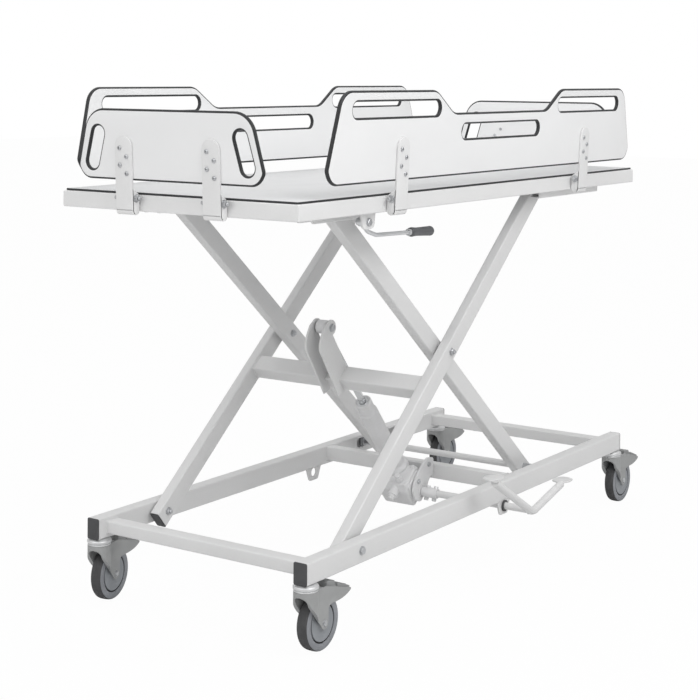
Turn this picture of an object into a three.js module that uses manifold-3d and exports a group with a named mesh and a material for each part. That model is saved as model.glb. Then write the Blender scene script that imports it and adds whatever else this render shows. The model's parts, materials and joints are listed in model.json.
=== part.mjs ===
// Mobile height-adjustable changing trolley: a wheeled tube base, a hydraulic scissor lift worked by
// a foot rocker, and a flat top with a fold-down rail on each side. Millimetres, +Z up.
// X runs along the length from the foot end to the head end, and Y runs across the width.
import * as THREE from 'three';
import { mergeVertices } from 'three/addons/utils/BufferGeometryUtils.js';
import Module from 'manifold-3d';

const wasm = await Module();
wasm.setup();

// ---- Driving dimensions, in millimetres and degrees ----
const GAP = 0.3; // resting gap between separate pieces
const PLAY = 0.5; // how much wider a hole is than its pin, on the radius
const RIGHT = -1; // the -Y side
const LEFT = 1; // the +Y side
const ROUND = 10; // flats on a small round piece
const FINE_ROUND = 16; // flats on a larger one
const WHEEL_ROUND = 22; // flats on a wheel
const SIDES = { right: RIGHT, left: LEFT };

const base = {
  halfLength: 800, tubeInner: 286, tubeOuter: 322, tubeBottom: 158, tubeTop: 208, wall: 3,
  crossTubes: [
    { x: -752, width: 40, bottom: 169, top: 199 },
    { x: 160, width: 30, bottom: 168, top: 208 },
    { x: 742, width: 40, bottom: 169, top: 199 },
  ],
  slot: { start: 300, end: 640 }, ventRadius: 4,
  shaftLug: { right: [-322, -317], left: [287, 292], topHalf: 34, bottomHalf: 20, bottom: 124 },
};

const scissor = {
  halfLeg: 602, angle: 39.7, lowerPivot: { x: -584, z: 187 }, width: 48, wall: 2.5, overhang: 22,
  outerLeg: { inner: 253, outer: 281, pivotOverhang: 31 },
  innerLeg: { inner: 214, outer: 243, pivotOverhang: 22 },
  crossbar: { s: -125, length: 48, height: 38 }, braceRadius: 9,
  liftPin: { s: -88, n: 147, radius: 6, plateInner: 19, plateOuter: 25 },
};
const bolt = { radius: 6, headRadius: 12, headHeight: 5, spacerRadius: 10 };
const roller = { treadRadius: 13.6, flangeRadius: 17, treadLength: 5.5, length: 13, track: 14 };

const table = {
  footEnd: -868, headEnd: 832, halfWidth: 342.5, bottom: 954, top: 992, tube: 30, wall: 2.5,
  boardInset: 4, boardThickness: 4.7, crossMembers: [
    { x: -675, vents: [-285, -228, 0, 228, 285] }, { x: -455, vents: [-285, -228, 0, 228, 285] },
    { x: 100, vents: [0] }, { x: 700, vents: [0] },
  ],
  lug: { start: -690, end: -440, bottom: 932, inner: [205, 211], outer: [246, 252] },
  channel: { start: 290, end: 650, inner: 284.5, outer: 313, halfHeight: 21, wall: 3 },
  leverEar: { x: -561, z: 932, inner: 313, outer: 319 },
};

const rail = {
  axisOut: 12.8, axisHeight: 958, lean: 3, pinRadius: 5, armHalfWidth: 18.5,
  strapHalfWidth: 25, strapFace: 12.5, strapThickness: 5, strapTop: 170, cheekReach: 12.3,
  cheekTop: 34, lockBolt: { height: 27, radius: 9, length: 4 }, panelThickness: 10,
};
const railCentreX = -29;
const sideStrapOffset = 470.5;
const endStrapOffset = 127;

const caster = {
  x: 777, y: 304, trail: 45, wheelRadius: 62.5, tyreInner: 44, wheelWidth: 29.6, forkInner: 16.8,
  forkOuter: 19.6, hoodTop: 142, hoodRadius: 28, wingEnd: 147, wall: 3, axleRadius: 5, kingpinRadius: 6,
  bossRadius: 13.5, ring: { bottom: 143, top: 157.7, radius: 29.3 }, pedalHinge: { x: 68, z: 126, radius: 3 },
  headings: { foot_right: 0, foot_left: 9, head_right: 0, head_left: 0 },
};

const pump = {
  pivot: { x: 85, z: 146 }, tilt: -39.66, axisOffset: 25, shaftRadius: 9.3,
  bodyRadius: 26, bodyEnd: 282, boreRadius: 18, boreBottom: 50, gland: 322, glandRadius: 22.5,
  rodRadius: 9, rodEnd: 280, eyeHeight: 605.9, eyeRadius: 17.5, eyeBore: 12.6, eyeHalfWidth: 14,
  bracketPlates: [[-71, -65], [42, 48]], back: [139, 144.7],
};
const bush = { radius: 11.8, flangeRadius: 14.5 };
const footPedal = {
  plane: -405, barRadius: 10, leftTip: { x: -114, z: 257 }, rightTip: { x: 246, z: 181 },
  leftPad: { x: -98, y: -390, z: 264 }, rightPad: { x: 270, y: -397, z: 186 },
  padLength: 65, padWidth: 50, padThickness: 4,
};

// ---- Materials ----
const paint = (color, roughness, metalness) =>
  new THREE.MeshStandardMaterial({ color, roughness, metalness });
const whitePaint = paint(0xe4e5e6, 0.45, 0.1);
const boardTop = paint(0xdedfe0, 0.5, 0);
const laminate = paint(0xe8e9ea, 0.4, 0);
const darkPlastic = paint(0x2b2d30, 0.6, 0);
const greyPlastic = paint(0x7d8286, 0.55, 0);
const tyreRubber = paint(0x1e1f21, 0.8, 0);
const wheelPlastic = paint(0x8a9299, 0.5, 0);
const steel = paint(0xb9bcc0, 0.35, 0.9);

// ---- Solids: closed three.js meshes joined and cut by manifold ----
function toSolid(geometry, matrix = new THREE.Matrix4()) {
  const bare = geometry.clone().applyMatrix4(matrix);
  bare.deleteAttribute('normal');
  bare.deleteAttribute('uv');
  const merged = mergeVertices(bare, 1e-3);
  return new wasm.Manifold(new wasm.Mesh({
    numProp: 3,
    vertProperties: new Float32Array(merged.attributes.position.array),
    triVerts: new Uint32Array(merged.index.array),
  }));
}

function toGeometry(solid) {
  const { vertProperties, triVerts } = solid.getMesh();
  const geometry = new THREE.BufferGeometry();
  geometry.setAttribute('position', new THREE.BufferAttribute(vertProperties, 3));
  geometry.setIndex(new THREE.BufferAttribute(triVerts, 1));
  geometry.computeVertexNormals();
  return geometry;
}

const fuse = (...solids) => solids.flat().reduce((whole, piece) => whole.add(piece));
const cut = (solid, ...tools) => tools.flat().reduce((rest, tool) => rest.subtract(tool), solid);
const radians = THREE.MathUtils.degToRad;

// A box between two bounds on each axis, given in either order.
function block([x0, x1], [y0, y1], [z0, z1]) {
  const size = [x1 - x0, y1 - y0, z1 - z0].map(Math.abs);
  const middle = new THREE.Matrix4().makeTranslation((x0 + x1) / 2, (y0 + y1) / 2, (z0 + z1) / 2);
  return toSolid(new THREE.BoxGeometry(...size), middle);
}

// A round bar between two points.
function bar(start, end, radius, segments = ROUND) {
  const from = new THREE.Vector3(...start);
  const along = new THREE.Vector3(...end).sub(from);
  const turn = new THREE.Quaternion().setFromUnitVectors(
    new THREE.Vector3(0, 1, 0), along.clone().normalize());
  const matrix = new THREE.Matrix4().compose(
    from.clone().addScaledVector(along, 0.5), turn, new THREE.Vector3(1, 1, 1));
  return toSolid(new THREE.CylinderGeometry(radius, radius, along.length(), segments), matrix);
}

// A round bar across the width, at one point of the X-Z plane.
const crossPin = (x, z, y0, y1, radius, segments) => bar([x, y0, z], [x, y1, z], radius, segments);

// An outline drawn in X and Z, given thickness from y0 to y1.
function plateXZ(shape, y0, y1, curveSegments = 4) {
  const geometry = new THREE.ExtrudeGeometry(
    shape, { depth: Math.abs(y1 - y0), bevelEnabled: false, curveSegments });
  const matrix = new THREE.Matrix4().makeRotationX(Math.PI / 2).setPosition(0, Math.max(y0, y1), 0);
  return toSolid(geometry, matrix);
}

// An outline drawn in X and Y, given thickness from z0 to z1.
function plateXY(shape, z0, z1, curveSegments = 4) {
  const geometry = new THREE.ExtrudeGeometry(
    shape, { depth: z1 - z0, bevelEnabled: false, curveSegments });
  return toSolid(geometry, new THREE.Matrix4().makeTranslation(0, 0, z0));
}

// An outline drawn in Y and Z, given thickness from x0 to x1.
function plateYZ(shape, x0, x1, curveSegments = 3, place = new THREE.Matrix4()) {
  const geometry = new THREE.ExtrudeGeometry(
    shape, { depth: Math.abs(x1 - x0), bevelEnabled: false, curveSegments });
  const matrix = new THREE.Matrix4().makeBasis(
    new THREE.Vector3(0, 1, 0), new THREE.Vector3(0, 0, 1), new THREE.Vector3(1, 0, 0));
  return toSolid(geometry, matrix.setPosition(Math.min(x0, x1), 0, 0).premultiply(place));
}

// A closed outline turned about Z, points given as [radius, height].
function turned(profile, segments = FINE_ROUND) {
  const points = profile.map(([radius, height]) => new THREE.Vector2(radius, height));
  const upright = new THREE.Matrix4().makeRotationX(Math.PI / 2);
  return toSolid(new THREE.LatheGeometry([...points, points[0]], segments), upright);
}

// The same, turned about the Y axis and moved to a point of the X-Z plane.
function turnedAcross(profile, x, z, y = 0, segments = FINE_ROUND) {
  const points = profile.map(([radius, along]) => new THREE.Vector2(radius, along));
  const place = new THREE.Matrix4().makeTranslation(x, y, z);
  return toSolid(new THREE.LatheGeometry([...points, points[0]], segments), place);
}

// A rectangular tube along X, open at both ends.
function tubeAlongX(x, y, z, wall) {
  const shrink = ([a, b]) => [Math.min(a, b) + wall, Math.max(a, b) - wall];
  return cut(block(x, y, z), block([x[0] - 1, x[1] + 1], shrink(y), shrink(z)));
}

// An outline whose corners are rounded, each corner given as [x, y, radius].
function roundedOutline(corners) {
  const shape = new THREE.Shape();
  corners.forEach(([x, y, radius], i) => {
    const corner = new THREE.Vector2(x, y);
    const towards = (other, reach) => corner.clone().add(
      new THREE.Vector2(other[0], other[1]).sub(corner).normalize().multiplyScalar(reach));
    const before = corners.at(i - 1);
    const after = corners[(i + 1) % corners.length];
    const turn = towards(before, 1).sub(corner).angleTo(towards(after, 1).sub(corner));
    const reach = radius / Math.tan(turn / 2);
    const start = towards(before, reach);
    const end = towards(after, reach);
    if (i === 0) shape.moveTo(start.x, start.y);
    else shape.lineTo(start.x, start.y);
    shape.quadraticCurveTo(x, y, end.x, end.y);
  });
  shape.closePath();
  return shape;
}

function node(name, solid, material) {
  const mesh = new THREE.Mesh(toGeometry(solid), material);
  mesh.name = name;
  return mesh;
}

function placed(group, x, y, z, rotationY = 0) {
  group.position.set(x, y, z);
  group.rotation.y = rotationY;
  return group;
}

// ---- Base ----
function sideTube(side) {
  const y = [side * base.tubeInner, side * base.tubeOuter];
  const tube = tubeAlongX(
    [-base.halfLength, base.halfLength], y, [base.tubeBottom, base.tubeTop], base.wall);
  const { x, z } = scissor.lowerPivot;
  const pivotHole = crossPin(x, z, y[0] - side, y[1] + side, bolt.radius + PLAY);
  const slotWall = [side * (base.tubeInner - 1), side * (base.tubeInner + base.wall + 1)];
  const rollerSlot = block([base.slot.start, base.slot.end], slotWall, [z - roller.track, z + roller.track]);
  return cut(tube, pivotHole, rollerSlot);
}

function crossTube({ x, width, bottom, top }) {
  const xs = [x - width / 2, x + width / 2];
  const inside = [x - width / 2 + base.wall, x + width / 2 - base.wall];
  const reach = base.tubeInner + 1;
  const middle = (bottom + top) / 2;
  return cut(
    block(xs, [-reach, reach], [bottom, top]),
    block(inside, [-base.tubeInner, base.tubeInner], [bottom + base.wall, top - base.wall]),
    bar([x, 250, bottom - 1], [x, 250, middle], base.ventRadius, 6),
  );
}

// The tapered lug plate under a side tube, bored for the pedal shaft's bush.
function shaftLug(sideName) {
  const { x, z } = pump.pivot;
  const { topHalf, bottomHalf, bottom, [sideName]: [y0, y1] } = base.shaftLug;
  const outline = roundedOutline([
    [x - topHalf, base.tubeBottom + 1, 1], [x - bottomHalf, bottom, 10], [x + bottomHalf, bottom, 10],
    [x + topHalf, base.tubeBottom + 1, 1],
  ]);
  return cut(plateXZ(outline, y0, y1), crossPin(x, z, y0 - 1, y1 + 1, bush.radius, FINE_ROUND));
}

function buildBase() {
  const parts = new THREE.Group();
  const frame = fuse(
    Object.values(SIDES).map(sideTube), base.crossTubes.map(crossTube), Object.keys(SIDES).map(shaftLug));
  parts.add(node('base_frame', frame, whitePaint));

  const capDepth = 14;
  for (const [end, direction] of [['foot', -1], ['head', 1]]) {
    for (const [sideName, side] of Object.entries(SIDES)) {
      const inset = base.wall + GAP;
      const cap = block(
        [direction * (base.halfLength - capDepth), direction * (base.halfLength - 1)],
        [side * (base.tubeInner + inset), side * (base.tubeOuter - inset)],
        [base.tubeBottom + inset, base.tubeTop - inset]);
      parts.add(node(`base_cap_${end}_${sideName}`, cap, darkPlastic));
    }
  }

  const { x, z } = scissor.lowerPivot;
  for (const [sideName, side] of Object.entries(SIDES)) {
    const pin = (from, to, radius, segments) => crossPin(x, z, side * from, side * to, radius, segments);
    const { inner, outer } = scissor.outerLeg;
    const pivot = fuse(
      pin(base.tubeOuter + GAP, base.tubeOuter + bolt.headHeight, bolt.headRadius, 6),
      pin(inner - 8, inner - GAP, bolt.headRadius, 6),
      pin(outer + GAP, base.tubeInner - GAP, bolt.spacerRadius),
      pin(inner - 8, base.tubeOuter + 4, bolt.radius));
    parts.add(node(`lower_pivot_bolt_${sideName}`, pivot, steel));
  }

  const { x: shaftX, z: shaftZ } = pump.pivot;
  const lugFace = base.shaftLug.right[0];
  const bushEnds = [lugFace + 11, lugFace - 5];
  const bushSolid = cut(
    fuse(
      crossPin(shaftX, shaftZ, ...bushEnds, bush.radius - GAP, FINE_ROUND),
      crossPin(shaftX, shaftZ, lugFace - GAP, bushEnds[1], bush.flangeRadius, FINE_ROUND)),
    crossPin(shaftX, shaftZ, bushEnds[0] + 1, bushEnds[1] - 1, pump.shaftRadius + PLAY, FINE_ROUND));
  parts.add(node('pedal_bush', bushSolid, darkPlastic));
  return parts;
}

// ---- Casters ----
function casterFork() {
  const { trail, wheelRadius, forkInner, forkOuter, hoodTop, hoodRadius, wingEnd, bossRadius } = caster;
  const side = new THREE.Shape();
  side.moveTo(-hoodRadius - 1, hoodTop);
  side.lineTo(-hoodRadius - 1, 133);
  side.quadraticCurveTo(-hoodRadius + 6, 132, -14, 112);
  side.lineTo(trail - bossRadius + 1, wheelRadius - 4);
  side.absarc(trail, wheelRadius, bossRadius, Math.PI * 1.1, Math.PI * 2, false);
  side.lineTo(trail + bossRadius + 1, 92);
  side.quadraticCurveTo(trail + bossRadius + 4, 100, 84, 99);
  side.quadraticCurveTo(126, 99, wingEnd, 112);
  side.lineTo(wingEnd, 116);
  side.lineTo(100, 129);
  side.lineTo(54, hoodTop);

  const sector = Math.asin(forkOuter / hoodRadius);
  const plan = new THREE.Shape();
  plan.moveTo(wingEnd, forkOuter);
  plan.absarc(0, 0, hoodRadius, sector, 2 * Math.PI - sector, false);
  plan.lineTo(wingEnd, -forkOuter);
  const skin = plateXZ(side, -hoodRadius, hoodRadius).intersect(plateXY(plan, 0, hoodTop));

  const wheelGap = block([0, wingEnd + 1], [-forkInner, forkInner], [0, hoodTop - caster.wall]);
  const hoodGap = bar([0, 0, 0], [0, 0, hoodTop - caster.wall], hoodRadius - caster.wall, FINE_ROUND);
  const pedalGap = block([trail - 3, wingEnd + 1], [-forkInner, forkInner], [wheelRadius, hoodTop + 1]);
  const kingpin = bar([0, 0, hoodTop - 3], [0, 0, caster.ring.top - 1], caster.kingpinRadius);
  const axle = crossPin(trail, wheelRadius, -forkOuter - 2, forkOuter + 2, caster.axleRadius);
  const nuts = [-1, 1].map((end) =>
    crossPin(trail, wheelRadius, end * (forkOuter - 1), end * (forkOuter + 4), 8, 6));
  const { x, z, radius } = caster.pedalHinge;
  return fuse(
    cut(skin, wheelGap, hoodGap, pedalGap), kingpin, axle, nuts,
    crossPin(x, z, -forkOuter, forkOuter, radius, 8));
}

// The brake pedal tips between the fork's wings, with a raised release toe and a flat braking toe.
function casterPedal() {
  const { x, z, radius } = caster.pedalHinge;
  const web = roundedOutline([
    [x - 8, z + 12, 2], [x - 8, z - 1, 3], [x + 12, z - 7, 4], [x + 40, z - 18, 6], [x + 75, z - 13, 2],
    [x + 32, z + 3, 5], [x + 22, z + 8, 4],
  ]);
  const releaseToe = roundedOutline([
    [x - 9, z + 9, 2], [x - 5, z + 22, 4], [x + 21, z + 15, 3], [x + 25, z + 5, 3], [x, z + 3, 3],
  ]);
  const brakeToe = roundedOutline([
    [x + 28, z, 2], [x + 34, z + 7, 3], [x + 78, z - 7, 1.5], [x + 78, z - 13, 1.5], [x + 50, z - 11, 5],
  ]);
  const width = caster.forkInner - 0.8;
  return cut(
    fuse(plateXZ(web, -width, width, 2), plateXZ(releaseToe, -width + 3, width - 3, 2),
      plateXZ(brakeToe, -width, width, 2)),
    crossPin(x, z, -width - 1, width + 1, radius + PLAY, 8));
}

function tyreSolid() {
  const { wheelRadius, tyreInner, wheelWidth, trail } = caster;
  const half = wheelWidth / 2;
  const inner = tyreInner + GAP;
  const profile = [
    [inner, -half], [wheelRadius - 7, -half], [wheelRadius - 2, -half + 3], [wheelRadius, -half + 11],
    [wheelRadius, half - 11], [wheelRadius - 2, half - 3], [wheelRadius - 7, half], [inner, half],
  ];
  return turnedAcross(profile, trail, wheelRadius, 0, WHEEL_ROUND);
}

function hubSolid() {
  const { wheelRadius, tyreInner, wheelWidth, trail, axleRadius, forkInner } = caster;
  const half = wheelWidth / 2;
  const bossEnd = forkInner - PLAY;
  const profile = [
    [axleRadius + PLAY, -bossEnd], [14, -bossEnd], [18, -half + 3], [tyreInner, -half + 3],
    [tyreInner, half - 3], [18, half - 3], [14, bossEnd], [axleRadius + PLAY, bossEnd],
  ];
  return turnedAcross(profile, trail, wheelRadius, 0, WHEEL_ROUND);
}

function swivelRing() {
  const { bottom, top, radius } = caster.ring;
  const bore = caster.kingpinRadius + PLAY;
  return turned([
    [bore, bottom], [radius - 3, bottom], [radius - 3, bottom + 5], [radius, bottom + 5], [radius, top],
    [bore, top],
  ]);
}

function buildCasters() {
  const parts = new THREE.Group();
  const pieces = {
    swivel_ring: [swivelRing(), steel], caster_fork: [casterFork(), greyPlastic],
    brake_pedal: [casterPedal(), greyPlastic], caster_tyre: [tyreSolid(), tyreRubber],
    caster_hub: [hubSolid(), wheelPlastic],
  };
  for (const [endName, end] of [['foot', -1], ['head', 1]]) {
    for (const [sideName, side] of Object.entries(SIDES)) {
      const unit = placed(new THREE.Group(), end * caster.x, side * caster.y, 0);
      unit.rotation.z = radians(caster.headings[`${endName}_${sideName}`]);
      for (const [name, [solid, material]] of Object.entries(pieces)) {
        unit.add(node(`${name}_${endName}_${sideName}`, solid, material));
      }
      parts.add(unit);
    }
  }
  return parts;
}

// ---- Scissor legs, drawn along X from the crossing pivot and then turned ----
function legTubes({ inner, outer, pivotOverhang }, axleEnd, collarRadius) {
  const { halfLeg, overhang, width, wall } = scissor;
  const ends = [-halfLeg - pivotOverhang, halfLeg + overhang];
  return Object.values(SIDES).map((side) => {
    const tube = tubeAlongX(ends, [side * inner, side * outer], [-width / 2, width / 2], wall);
    const holes = [-halfLeg, 0].map((s) =>
      crossPin(s, 0, side * (inner - 1), side * (outer + 1), bolt.radius + PLAY));
    const axle = crossPin(halfLeg, 0, side * (inner + 1), side * (axleEnd + roller.length), bolt.radius);
    const collar = crossPin(halfLeg, 0, side * (outer - 1), side * (axleEnd - GAP), collarRadius);
    return fuse(cut(tube, holes), axle, collar);
  });
}

function liftPlate(y0, y1) {
  const { s, n, radius } = scissor.liftPin;
  const shape = new THREE.Shape();
  shape.moveTo(s - 19, -20);
  shape.lineTo(s - 7, n - 19);
  shape.absarc(s, n, 20, radians(-110), radians(90), false);
  shape.lineTo(s - 18, n + 22);
  shape.quadraticCurveTo(s - 66, n + 8, s - 71, n - 13);
  shape.quadraticCurveTo(s - 78, n - 90, s - 87, -12);
  shape.lineTo(s - 61, -23);
  const hole = crossPin(s, n, y0 - 1, y1 + 1, radius + PLAY);
  return cut(plateXZ(shape, y0, y1), hole);
}

function outerLegFrame() {
  const { s, length, height } = scissor.crossbar;
  const reach = scissor.outerLeg.inner + 1;
  const { wall } = scissor;
  const crossbar = cut(
    block([s - length / 2, s + length / 2], [-reach, reach], [-height / 2, height / 2]),
    block([s - length / 2 + wall, s + length / 2 - wall], [-reach + 1, reach - 1],
      [-height / 2 + wall, height / 2 - wall]),
    [-220, 0, 220].map((y) => bar([s, y, -height], [s, y, 0], base.ventRadius, 6)));
  const { plateInner, plateOuter } = scissor.liftPin;
  const plates = Object.values(SIDES).map((side) => {
    const faces = [side * plateInner, side * plateOuter].sort((a, b) => a - b);
    return liftPlate(...faces);
  });
  const axleEnd = table.channel.inner + table.channel.wall + 0.5 - roller.treadLength;
  return fuse(legTubes(scissor.outerLeg, axleEnd, 10), crossbar, plates);
}

function innerLegFrame() {
  const reach = scissor.innerLeg.inner + 1;
  const axleEnd = base.tubeInner + base.wall + 0.5 - roller.treadLength;
  return fuse(
    legTubes(scissor.innerLeg, axleEnd, 10),
    crossPin(scissor.halfLeg, 0, -reach, reach, scissor.braceRadius));
}

// A flanged roller that runs in a slot, with its tread towards the middle of the trolley.
function rollerSolid(side, start) {
  const { treadRadius, flangeRadius, treadLength, length } = roller;
  const bore = bolt.radius + PLAY;
  const profile = [
    [bore, 0], [treadRadius, 0], [treadRadius, treadLength], [flangeRadius, treadLength],
    [flangeRadius, length], [bore, length],
  ];
  const shape = side > 0 ? profile : profile.map(([radius, y]) => [radius, -y]).reverse();
  return turnedAcross(shape, scissor.halfLeg, 0, side * start, FINE_ROUND);
}

function centreBolt(side) {
  const { outer } = scissor.outerLeg;
  const { inner } = scissor.innerLeg;
  return fuse(
    crossPin(0, 0, side * (outer + GAP), side * (outer + 5), bolt.headRadius, 6),
    crossPin(0, 0, side * (inner - 8), side * (outer + 4), bolt.radius),
    crossPin(0, 0, side * (inner - 8), side * (inner - GAP), bolt.headRadius, 6));
}

function liftPinSolid() {
  const { s, n, radius, plateOuter } = scissor.liftPin;
  const end = plateOuter + 6;
  const heads = Object.values(SIDES).map((side) =>
    crossPin(s, n, side * (plateOuter + GAP), side * end, radius + 4));
  return fuse(crossPin(s, n, -end, end, radius), heads);
}

function buildScissor() {
  const parts = new THREE.Group();
  const { halfLeg, angle, lowerPivot } = scissor;
  const crossingX = lowerPivot.x + halfLeg * Math.cos(radians(angle));
  const crossingZ = lowerPivot.z + halfLeg * Math.sin(radians(angle));
  const outer = placed(new THREE.Group(), crossingX, 0, crossingZ, -radians(angle));
  const inner = placed(new THREE.Group(), crossingX, 0, crossingZ, radians(angle));
  outer.add(node('outer_leg_frame', outerLegFrame(), whitePaint));
  inner.add(node('inner_leg_frame', innerLegFrame(), whitePaint));
  const upperStart = table.channel.inner + table.channel.wall + 0.5 - roller.treadLength;
  const lowerStart = base.tubeInner + base.wall + 0.5 - roller.treadLength;
  for (const [sideName, side] of Object.entries(SIDES)) {
    outer.add(node(`centre_pivot_bolt_${sideName}`, centreBolt(side), steel));
    outer.add(node(`upper_roller_${sideName}`, rollerSolid(side, upperStart), steel));
    inner.add(node(`lower_roller_${sideName}`, rollerSolid(side, lowerStart), steel));
  }
  outer.add(node('lift_pin', liftPinSolid(), steel));
  parts.add(outer, inner);
  return parts;
}

// ---- Pump, cylinder and foot rocker, drawn from the pedal shaft's centre ----
function pumpCylinder() {
  const x = pump.axisOffset;
  const body = fuse(
    block([-42, 40], [-62, 38], [-24, 60]),
    bar([x, 0, 20], [x, 0, pump.bodyEnd], pump.bodyRadius, FINE_ROUND),
    bar([x, 0, pump.bodyEnd - 1], [x, 0, pump.gland], pump.glandRadius, FINE_ROUND),
    bar([x + pump.bodyRadius + 3, 0, 40], [x + pump.bodyRadius + 3, 0, 250], 6),
    bar([-30, -20, 40], [-58, -20, 40], 14),
    bar([-20, -34, 50], [-20, -34, 76], 9));
  return cut(body,
    bar([x, 0, pump.boreBottom], [x, 0, pump.gland - 12], pump.boreRadius),
    bar([x, 0, pump.boreBottom], [x, 0, pump.gland + 1], pump.rodRadius + PLAY),
    crossPin(0, 0, -64, 40, pump.shaftRadius + PLAY, FINE_ROUND));
}

function pistonRod() {
  const x = pump.axisOffset;
  const { rodRadius, rodEnd, eyeHeight, eyeRadius, eyeBore, eyeHalfWidth } = pump;
  const eye = crossPin(x, eyeHeight, -eyeHalfWidth, eyeHalfWidth, eyeRadius, FINE_ROUND);
  const shank = bar([x, 0, rodEnd], [x, 0, eyeHeight - eyeBore - 3], rodRadius);
  return cut(fuse(shank, eye), crossPin(x, eyeHeight, -20, 20, eyeBore, FINE_ROUND));
}

// Two eared side plates and a back strip that bolt to the middle cross tube, in the trolley's axes.
function pumpBracket() {
  const { x, z } = pump.pivot;
  const shape = roundedOutline([
    [144, 178, 4], [144, 226, 8], [112, 231, 14], [90, 217, 12], [60, 194, 14], [45, 172, 14],
    [40, 154, 10], [53, 127, 14], [80, 118, 14], [105, 140, 16], [118, 165, 12], [130, 179, 8],
  ]);
  const plates = pump.bracketPlates.map(([y0, y1]) => plateXZ(shape, y0, y1));
  const back = block(pump.back, [pump.bracketPlates[0][0], pump.bracketPlates[1][1]], [172, 206]);
  const hole = crossPin(x, z, -73, 50, pump.shaftRadius + PLAY, FINE_ROUND);
  return cut(fuse(plates, back), hole);
}

function footRocker() {
  const { plane, barRadius, leftTip, rightTip, leftPad, rightPad } = footPedal;
  const { x, z } = pump.pivot;
  const pad = (centre) => block(
    [centre.x - footPedal.padLength / 2, centre.x + footPedal.padLength / 2],
    [centre.y - footPedal.padWidth / 2, centre.y + footPedal.padWidth / 2],
    [centre.z - footPedal.padThickness / 2, centre.z + footPedal.padThickness / 2]);
  return fuse(
    crossPin(x, z, 52, plane - barRadius, pump.shaftRadius, FINE_ROUND),
    crossPin(x, z, -74, -120, 13.5),
    bar([x, plane, z], [leftTip.x, plane, leftTip.z], barRadius),
    bar([x, plane, z], [rightTip.x, plane, rightTip.z], barRadius),
    pad(leftPad), pad(rightPad));
}

function buildLift() {
  const parts = new THREE.Group();
  const unit = placed(new THREE.Group(), pump.pivot.x, 0, pump.pivot.z, radians(pump.tilt));
  unit.add(node('pump_cylinder', pumpCylinder(), whitePaint));
  unit.add(node('piston_rod', pistonRod(), steel));
  parts.add(unit);
  parts.add(node('pump_bracket', pumpBracket(), whitePaint));
  parts.add(node('foot_pedal', footRocker(), whitePaint));
  return parts;
}

// ---- Table ----
const upperPivotZ = scissor.lowerPivot.z + 2 * scissor.halfLeg * Math.sin(radians(scissor.angle));

function tableRing() {
  const { footEnd, headEnd, halfWidth, bottom, top, tube, wall } = table;
  const ring = (inset) => cut(
    block([footEnd + inset, headEnd - inset], [-halfWidth + inset, halfWidth - inset],
      [bottom + inset, top - inset]),
    block([footEnd + tube - inset, headEnd - tube + inset],
      [-halfWidth + tube - inset, halfWidth - tube + inset], [bottom - 1, top + 1]));
  const vents = [footEnd + 60, headEnd - 60].flatMap((x) => Object.values(SIDES).map((side) =>
    bar([x, side * (halfWidth - tube / 2), bottom - 1], [x, side * (halfWidth - tube / 2), bottom + 8],
      base.ventRadius, 6)));
  return cut(ring(0), ring(wall), vents);
}

function crossMember({ x, vents }) {
  const { halfWidth, tube, bottom, top } = table;
  const reach = halfWidth - tube + 1;
  const half = 15;
  const inner = half - table.wall;
  return cut(
    block([x - half, x + half], [-reach, reach], [bottom + 4, top - 4]),
    block([x - inner, x + inner], [-reach + 1, reach - 1], [bottom + 4 + table.wall, top - 4 - table.wall]),
    vents.map((y) => bar([x, y, bottom], [x, y, bottom + 12], base.ventRadius, 6)));
}

function rollerChannel(side) {
  const { start, end, inner, outer, halfHeight, wall } = table.channel;
  const tube = tubeAlongX([start, end], [side * inner, side * outer],
    [upperPivotZ - halfHeight, upperPivotZ + halfHeight], wall);
  const slot = block([start + 15, end - 20], [side * (inner - 1), side * (inner + wall + 1)],
    [upperPivotZ - roller.track, upperPivotZ + roller.track]);
  return cut(tube, slot);
}

function pivotLugs(side) {
  const { start, end, bottom, inner, outer } = table.lug;
  const { x } = scissor.lowerPivot;
  const plates = [inner, outer].map(([y0, y1]) =>
    block([start, end], [side * y0, side * y1], [bottom, table.top - 5]));
  const hole = crossPin(x, upperPivotZ, side * (inner[0] - 1), side * (outer[1] + 1), bolt.radius + PLAY);
  return plates.map((plate) => cut(plate, hole));
}

// A hinge arm in the rail's axes: Y runs inwards from the hinge pin to the table edge, Z upwards.
function hingeArm(offset, place) {
  const { armHalfWidth, axisOut, pinRadius, strapHalfWidth } = rail;
  const rise = table.top - rail.axisHeight - 2;
  const knuckle = 6.5;
  const profile = new THREE.Shape();
  profile.moveTo(axisOut + 1, rise);
  profile.lineTo(-knuckle, rise);
  profile.lineTo(-knuckle, 0);
  profile.absarc(0, 0, knuckle, Math.PI, 2 * Math.PI + 0.6, false);
  profile.lineTo(4, 15);
  profile.lineTo(axisOut + 1, 15);
  const end = (along) => new THREE.Vector3(along, 0, 0).applyMatrix4(place).toArray();
  return fuse(
    plateYZ(profile, offset - armHalfWidth, offset + armHalfWidth, 3, place),
    bar(end(offset - strapHalfWidth), end(offset + strapHalfWidth), pinRadius));
}

// Where each rail's hinge line is, and how far the rail's own axes are turned from the trolley's.
const railPlaces = {
  side_right: { x: railCentreX, y: -table.halfWidth - rail.axisOut, turn: 0 },
  side_left: { x: railCentreX, y: table.halfWidth + rail.axisOut, turn: 180 },
  end_foot: { x: table.footEnd - rail.axisOut, y: 0, turn: -90 },
  end_head: { x: table.headEnd + rail.axisOut, y: 0, turn: 90 },
};
const strapOffset = (railName) => (railName.startsWith('side') ? sideStrapOffset : endStrapOffset);

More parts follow.
